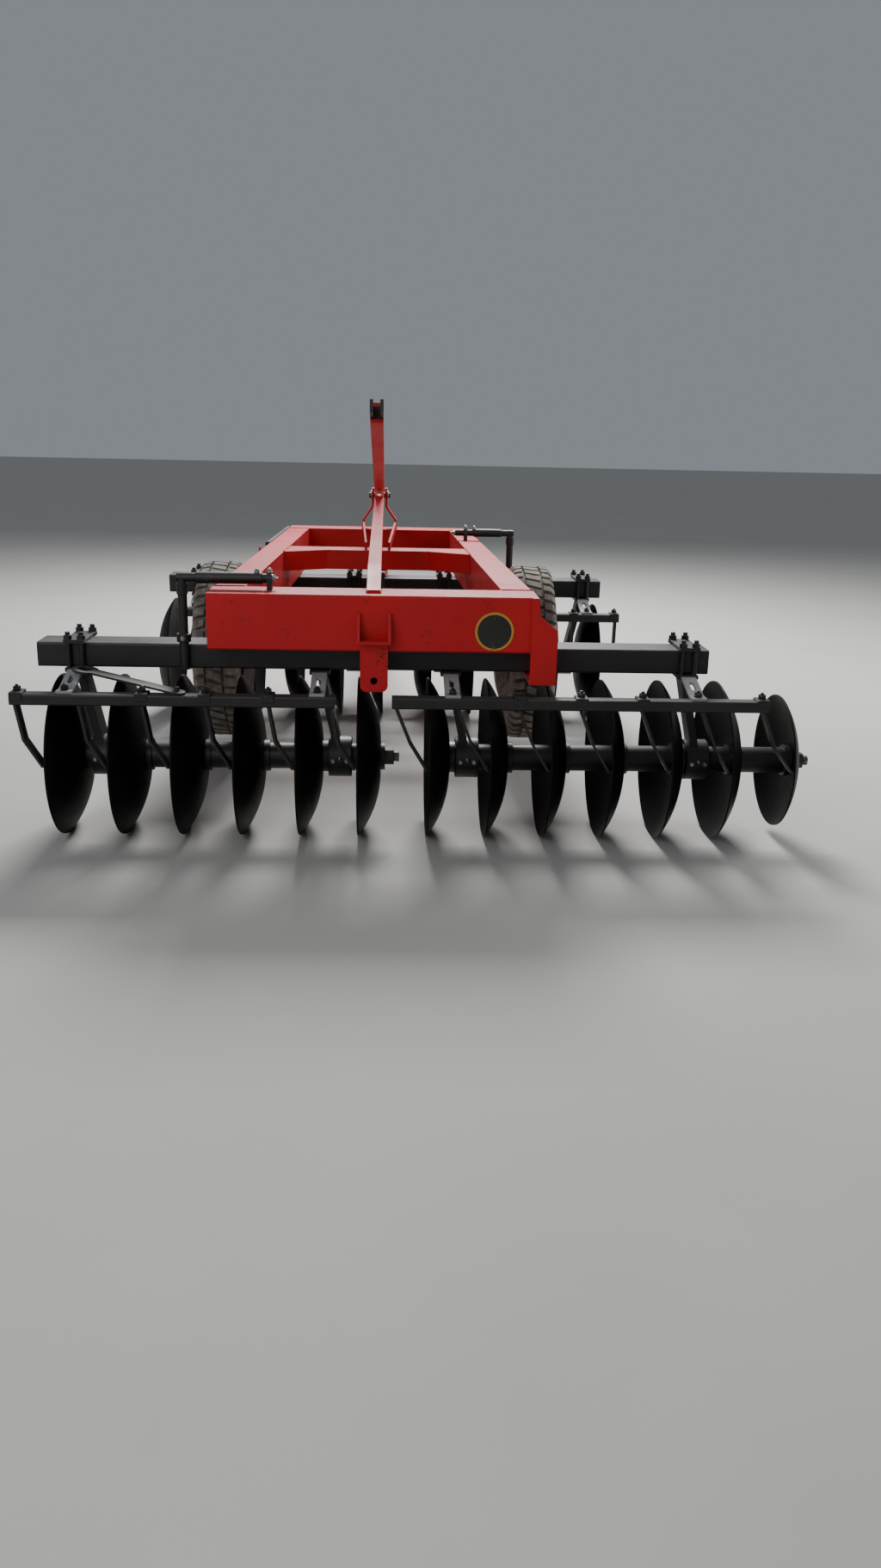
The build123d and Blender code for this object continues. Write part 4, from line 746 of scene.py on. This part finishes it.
def frame_welds():
    """Beads where the frame's beams, brackets, stay and mast meet."""
    rear_low, rear_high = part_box("rear_beam")
    front_low, front_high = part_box("front_crossbeam")
    side_low, side_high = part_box("left_side_beam")
    mid_low, mid_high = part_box("middle_crossbeam")
    stay_low, stay_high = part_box("top_stay")
    mast_low, mast_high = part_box("mast_plates")
    hitch_low, hitch_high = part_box("rear_hitch")
    plate_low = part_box("rear_pivot_bracket")[0]
    anchor_low, anchor_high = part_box("cylinder_anchor")
    rear_half = MIDDLE_X - side_low.x
    front_half = front_high.x - MIDDLE_X
    taper = (rear_half - front_half) / (side_high.y - side_low.y)

    def side_beads(bm, sign):
        # Side beams against the rear and front beams: across the top, and down the inner corner
        for half, y in ((rear_half, rear_high.y), (front_half, front_low.y)):
            outer = Vector((MIDDLE_X + sign * half, y, FRAME_TOP))
            inner = outer - X_AXIS * sign * SIDE_BEAM_WIDTH
            weld(bm, [outer, inner, inner - Z_AXIS * (rear_high.z - rear_low.z)])
        # The middle crossbeam's flared ends
        end = Vector((mid_low.x if sign < 0 else mid_high.x, mid_low.y, mid_high.z))
        far = Vector((end.x - sign * taper * (mid_high.y - mid_low.y), mid_high.y, mid_high.z))
        weld(bm, [end - Z_AXIS * (mid_high.z - mid_low.z), end, far])
        # Mast foot, hitch tongue, stay foot and cylinder anchor
        foot = mast_low.x if sign < 0 else mast_high.x
        weld(bm, [Vector((foot, mast_low.y, FRAME_TOP)), Vector((foot, mast_high.y, FRAME_TOP))])
        edge = Vector((hitch_low.x if sign < 0 else hitch_high.x, rear_low.y, hitch_high.z))
        weld(bm, [edge - Z_AXIS * 0.003, edge - Z_AXIS * 0.092], SMALL_WELD_RADIUS)
        beside = Vector((stay_low.x if sign < 0 else stay_high.x, stay_low.y, FRAME_TOP))
        weld(bm, [beside, beside + Y_AXIS * 0.075], SMALL_WELD_RADIUS)
        lug = Vector((anchor_low.x if sign < 0 else anchor_high.x, anchor_high.y, anchor_low.z))
        weld(bm, [lug, lug + Z_AXIS * (anchor_high.z - anchor_low.z)], SMALL_WELD_RADIUS)

    def fill(bm):
        side_beads(bm, -1)
        side_beads(bm, 1)
        toe = Vector((stay_low.x, stay_low.y, FRAME_TOP))
        weld(bm, [toe, toe + X_AXIS * (stay_high.x - stay_low.x)], SMALL_WELD_RADIUS)
        plate = Vector((plate_low.x, rear_low.y, rear_low.z))
        weld(bm, [plate, plate + Z_AXIS * (FRAME_TOP - 0.006 - rear_low.z)], SMALL_WELD_RADIUS)

    make_piece("frame_weld_beads", fill, RED, "frame")


def stop_bar_fittings():
    """Sleeves, collars and bolts on the two stop bars."""
    rear_low, rear_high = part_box("rear_stop_bar")
    front_low, front_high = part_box("front_stop_bar")
    # Each bar: low and high corner, side of its leg, where its sleeve starts and ends as shares of its
    # arm, and how far its end stands out beyond the lug
    bars = (
        (rear_low, rear_high, -1, (0.20, 0.90), 0.0),
        (front_low, front_high, 1, (0.25, 0.80), 0.045),
    )

    def sleeves(bm):
        for low, high, side, cover, stub in bars:
            y = (low.y + high.y) / 2
            arm_z = high.z - STOP_LUG_HALF
            length = high.x - low.x
            leg_end = low.x if side < 0 else high.x
            start = Vector((leg_end - side * length * cover[0], y, arm_z))
            run = length * (cover[1] - cover[0])
            ring(bm, start, X_AXIS * -side, STOP_TUBE_RADIUS, STOP_TUBE_RADIUS + 0.0045, run)
            if stub:
                lug_face = Vector((high.x if side < 0 else low.x, y, arm_z))
                profile = [(0, 0), (0, STOP_TUBE_RADIUS), (stub - 0.002, STOP_TUBE_RADIUS)]
                profile += [(stub, STOP_TUBE_RADIUS - 0.002), (stub, 0)]
                lathe(bm, profile, lug_face, X_AXIS * -side, 28)
            leg_x = leg_end - side * STOP_TUBE_RADIUS
            ring(bm, Vector((leg_x, y, low.z + 0.102)), Z_AXIS, STOP_TUBE_RADIUS, 0.026, 0.030, 0.002)
            ring(bm, Vector((leg_x, y, arm_z - 0.060)), Z_AXIS, STOP_TUBE_RADIUS, 0.0205, 0.040, 0.0015)

    make_piece("stop_bar_sleeves", sleeves, BLACK, "frame")

    def bolts(bm):
        for low, high, side, _, stub in bars:
            y = (low.y + high.y) / 2
            arm_z = high.z - STOP_LUG_HALF
            lug_x = high.x if side < 0 else low.x
            hex_bolt(bm, Vector((lug_x - side * stub, y, arm_z)), X_AXIS * -side, 0.024, 0.010, 0.010)
            lug_middle = lug_x + side * STOP_LUG_THICKNESS / 2
            hex_bolt(bm, Vector((lug_middle, y, high.z - 0.002)), Z_AXIS, 0.017, 0.009, 0.004)
            arm_seat = Vector((lug_middle + side * 0.045, y, arm_z + 0.021))
            hex_bolt(bm, arm_seat, Z_AXIS, 0.017, 0.009, 0.004)
            leg_x = low.x + STOP_TUBE_RADIUS if side < 0 else high.x - STOP_TUBE_RADIUS
            hex_bolt(bm, Vector((leg_x, y - 0.0255, low.z + 0.117)), -Y_AXIS, 0.014, 0.008, 0.004)

    make_piece("stop_bar_bolts", bolts, ZINC, "frame")


def spare_bar():
    """A spare round bar held in hooks along the left side beam's outer top edge."""
    low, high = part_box("left_side_beam")
    front_low, front_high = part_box("front_crossbeam")
    front_half = front_high.x - MIDDLE_X
    lean = (MIDDLE_X - front_half - low.x) / (high.y - low.y)
    along = Vector((-lean, -1, 0)).normalized()
    radius = SPARE_BAR_RADIUS
    length = SPARE_BAR_LENGTH
    corner = Vector((front_low.x - radius, high.y, FRAME_TOP - SPARE_BAR_DROP))
    start = corner + Y_AXIS * SPARE_BAR_START

    def bar(bm):
        profile = [(0, 0), (0, radius - 0.002), (0.002, radius), (length - 0.002, radius)]
        profile += [(length, radius - 0.002), (length, 0)]
        lathe(bm, profile, start, along, 20)

    make_piece("left_spare_bar", bar, BLACK, "frame")

    def hooks(bm):
        # A hook under the bar and up its outer side, from the beam's wall
        outline = [
            (radius, -radius),
            (-radius, -radius),
            (-radius, radius * 0.6),
            (-radius - HOOK_WALL, radius * 0.6),
            (-radius - HOOK_WALL, -radius - HOOK_WALL),
            (radius, -radius - HOOK_WALL),
        ]
        # Each hook: how far behind the bar's front end it is, and its length
        for run, wide in ((0.10, 0.04), (0.84, 0.04), (1.14, 0.07)):
            foot = start + along * run - Y_AXIS * wide / 2
            prism(bm, outline, foot, X_AXIS, Z_AXIS, Y_AXIS * wide, 0.001)

    make_piece("left_spare_bar_hooks", hooks, RED, "frame", False)


def pin_hardware():
    """Washers and split pins on the mast pin, and nuts on the drawbar's pin."""
    mast_low, mast_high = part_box("mast_pin")
    lugs_low, lugs_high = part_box("drawbar_lugs")
    pin_radius = (mast_high.z - mast_low.z) / 2

    def fill(bm):
        pin = (mast_low + mast_high) / 2
        for x, sign in ((mast_low.x, -1), (mast_high.x, 1)):
            seat = Vector((x - sign * MAST_PIN_TAIL, pin.y, pin.z))
            ring(bm, seat, X_AXIS * sign, pin_radius, 0.028, 0.005, 0.0008, 28)
            hole = Vector((x - sign * 0.006, pin.y, pin.z))
            rod(bm, hole - Y_AXIS * 0.024, hole + Y_AXIS * 0.024, 0.0025)
        pin_y = lugs_high.y - DRAWBAR_LUG_RADIUS
        pin_z = (lugs_low.z + lugs_high.z) / 2
        for x, sign in ((lugs_low.x, -1), (lugs_high.x, 1)):
            hex_bolt(bm, Vector((x, pin_y, pin_z)), X_AXIS * sign, 0.046, 0.018, 0.010)

    make_piece("frame_pin_hardware", fill, ZINC, "frame")


def cylinder_hardware():
    """The lift cylinder's end ring, gland ring and two ports."""
    anchor_low, anchor_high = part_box("cylinder_anchor")
    rod_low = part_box("lift_cylinder_rod")[0]
    low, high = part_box("lift_cylinder_barrel")
    radius = (high.x - low.x) / 2
    anchor = Vector((MIDDLE_X, anchor_low.y + CYLINDER_EYE_RADIUS, (anchor_low.z + anchor_high.z) / 2))
    tip = Vector((MIDDLE_X, rod_low.y + CYLINDER_EYE_RADIUS, rod_low.z + CYLINDER_EYE_RADIUS))
    axis = (tip - anchor).normalized()

    def fill(bm):
        for along, wide in ((0.052, 0.012), (0.400, 0.026)):
            ring(bm, anchor + axis * along, axis, radius - 0.001, radius + 0.003, wide, 0.001, 40)
        for along in (0.085, 0.370):
            seat = anchor + axis * along + X_AXIS * (radius - 0.003)
            boss = [(0, 0.013), (0.010, 0.013), (0.011, 0.011)]
            mouth = [(0.018, 0.011), (0.018, 0.006), (0.012, 0)]
            lathe(bm, boss + mouth, seat, X_AXIS, 20)

    make_piece("lift_cylinder_rings", fill, BLACK, "lift_cylinder_barrel")


def link_fork_skin():
    """The dipped black end of the top link: a paint-thin skin on and between its fork's cheeks."""
    pin_low, pin_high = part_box("mast_pin")
    link_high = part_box("top_link")[1]
    root = (pin_low + pin_high) / 2
    along = Vector((0, -cos(LINK_SLOPE), sin(LINK_SLOPE)))
    up = Vector((0, sin(LINK_SLOPE), cos(LINK_SLOPE)))
    skin = SKIN_THICKNESS
    size = LINK_FORK + skin
    half_depth = LINK_FORK_DEPTH / 2 + skin
    hole_along = LINK_FORK * 2 / 3
    corners = [atan2(b, a - hole_along) for a in (0, size) for b in (-half_depth, half_depth)]
    angles = sorted([2 * pi * k / SKIN_STEPS - pi for k in range(SKIN_STEPS)] + corners)
    base = root + along * (LINK_LENGTH - LINK_FORK)

    def rim_point(angle):
        # Where a ray from the hole's middle leaves the cheek's rectangle
        ray_a, ray_b = cos(angle), sin(angle)
        to_end = ((size if ray_a > 0 else 0) - hole_along) / ray_a if abs(ray_a) > 1e-9 else 1e9
        to_side = (half_depth if ray_b > 0 else -half_depth) / ray_b if abs(ray_b) > 1e-9 else 1e9
        run = min(to_end, to_side)
        return hole_along + ray_a * run, ray_b * run

    def face(bm, x):
        centre = base + along * hole_along + X_AXIS * x
        inner = [bm.verts.new(centre + (along * cos(a) + up * sin(a)) * LINK_HOLE) for a in angles]
        outer = []
        for angle in angles:
            a, b = rim_point(angle)
            spot = base + X_AXIS * x + along * a + up * b
            # Its upper end corner is rubbed down to the fork's own
            spot.z = min(spot.z, link_high.z)
            outer.append(bm.verts.new(spot))
        for k in range(len(angles)):
            nxt = (k + 1) % len(angles)
            bm.faces.new((inner[k], inner[nxt], outer[nxt], outer[k]))
        return outer

    def fill(bm):
        for sign in (-1, 1):
            outside = face(bm, sign * (LINK_HALF_WIDTH + skin))
            inside = face(bm, sign * (LINK_HALF_WIDTH - LINK_CHEEK - skin))
            for k in range(len(angles)):
                nxt = (k + 1) % len(angles)
                bm.faces.new((outside[k], outside[nxt], inside[nxt], inside[k]))
        wide = LINK_HALF_WIDTH - LINK_CHEEK
        between = [(-wide, -half_depth), (wide, -half_depth), (wide, half_depth), (-wide, half_depth)]
        prism(bm, between, base, X_AXIS, up, along * skin)

    make_piece("top_link_fork_skin", fill, BLACK, "top_link", False)


def studio():
    """A pale floor, a large soft light behind and above, and a weak fill from the camera's side."""
    mesh = bpy.data.meshes.new("studio_floor")
    bm = bmesh.new()
    bmesh.ops.create_grid(bm, x_segments=1, y_segments=1, size=40.0)
    bm.to_mesh(mesh)
    bm.free()
    mesh.materials.append(floor_paint())
    floor = bpy.data.objects.new("studio_floor", mesh)
    bpy.context.scene.collection.objects.link(floor)
    world = bpy.data.worlds.new("soft_room")
    world.use_nodes = True
    background = world.node_tree.nodes["Background"]
    background.inputs["Color"].default_value = linear("#e3ebf4")
    background.inputs["Strength"].default_value = 0.30
    bpy.context.scene.world = world
    # Each light: name, place, size, power in watts, point that it faces
    lights = (
        ("overhead_softbox", (0.1, 3.8, 5.6), 2.4, 880.0, (0.0, -0.4, 0.5)),
        ("camera_side_fill", (-3.0, -7.0, 3.5), 4.0, 110.0, (0.0, -1.0, 0.6)),
        ("right_edge_light", (5.5, -0.5, 3.0), 2.5, 150.0, (0.0, -0.8, 0.6)),
    )
    for name, place, size, power, target in lights:
        data = bpy.data.lights.new(name, "AREA")
        data.size = size
        data.energy = power
        light = bpy.data.objects.new(name, data)
        bpy.context.scene.collection.objects.link(light)
        light.location = place
        light.rotation_euler = (Vector(target) - Vector(place)).to_track_quat("-Z", "Y").to_euler()


place_camera()
paint_nodes()
for wheel_side in ("left", "right"):
    tyre(wheel_side)
    wheel_hardware(wheel_side)
for gang_row in ("rear", "front"):
    scraper_clamps(gang_row)
    bearing_hardware(gang_row)
    for gang_side in ("left", "right"):
        gang_ends(gang_row, gang_side)
sign_plate()
frame_welds()
stop_bar_fittings()
spare_bar()
pin_hardware()
cylinder_hardware()
link_fork_skin()
studio()
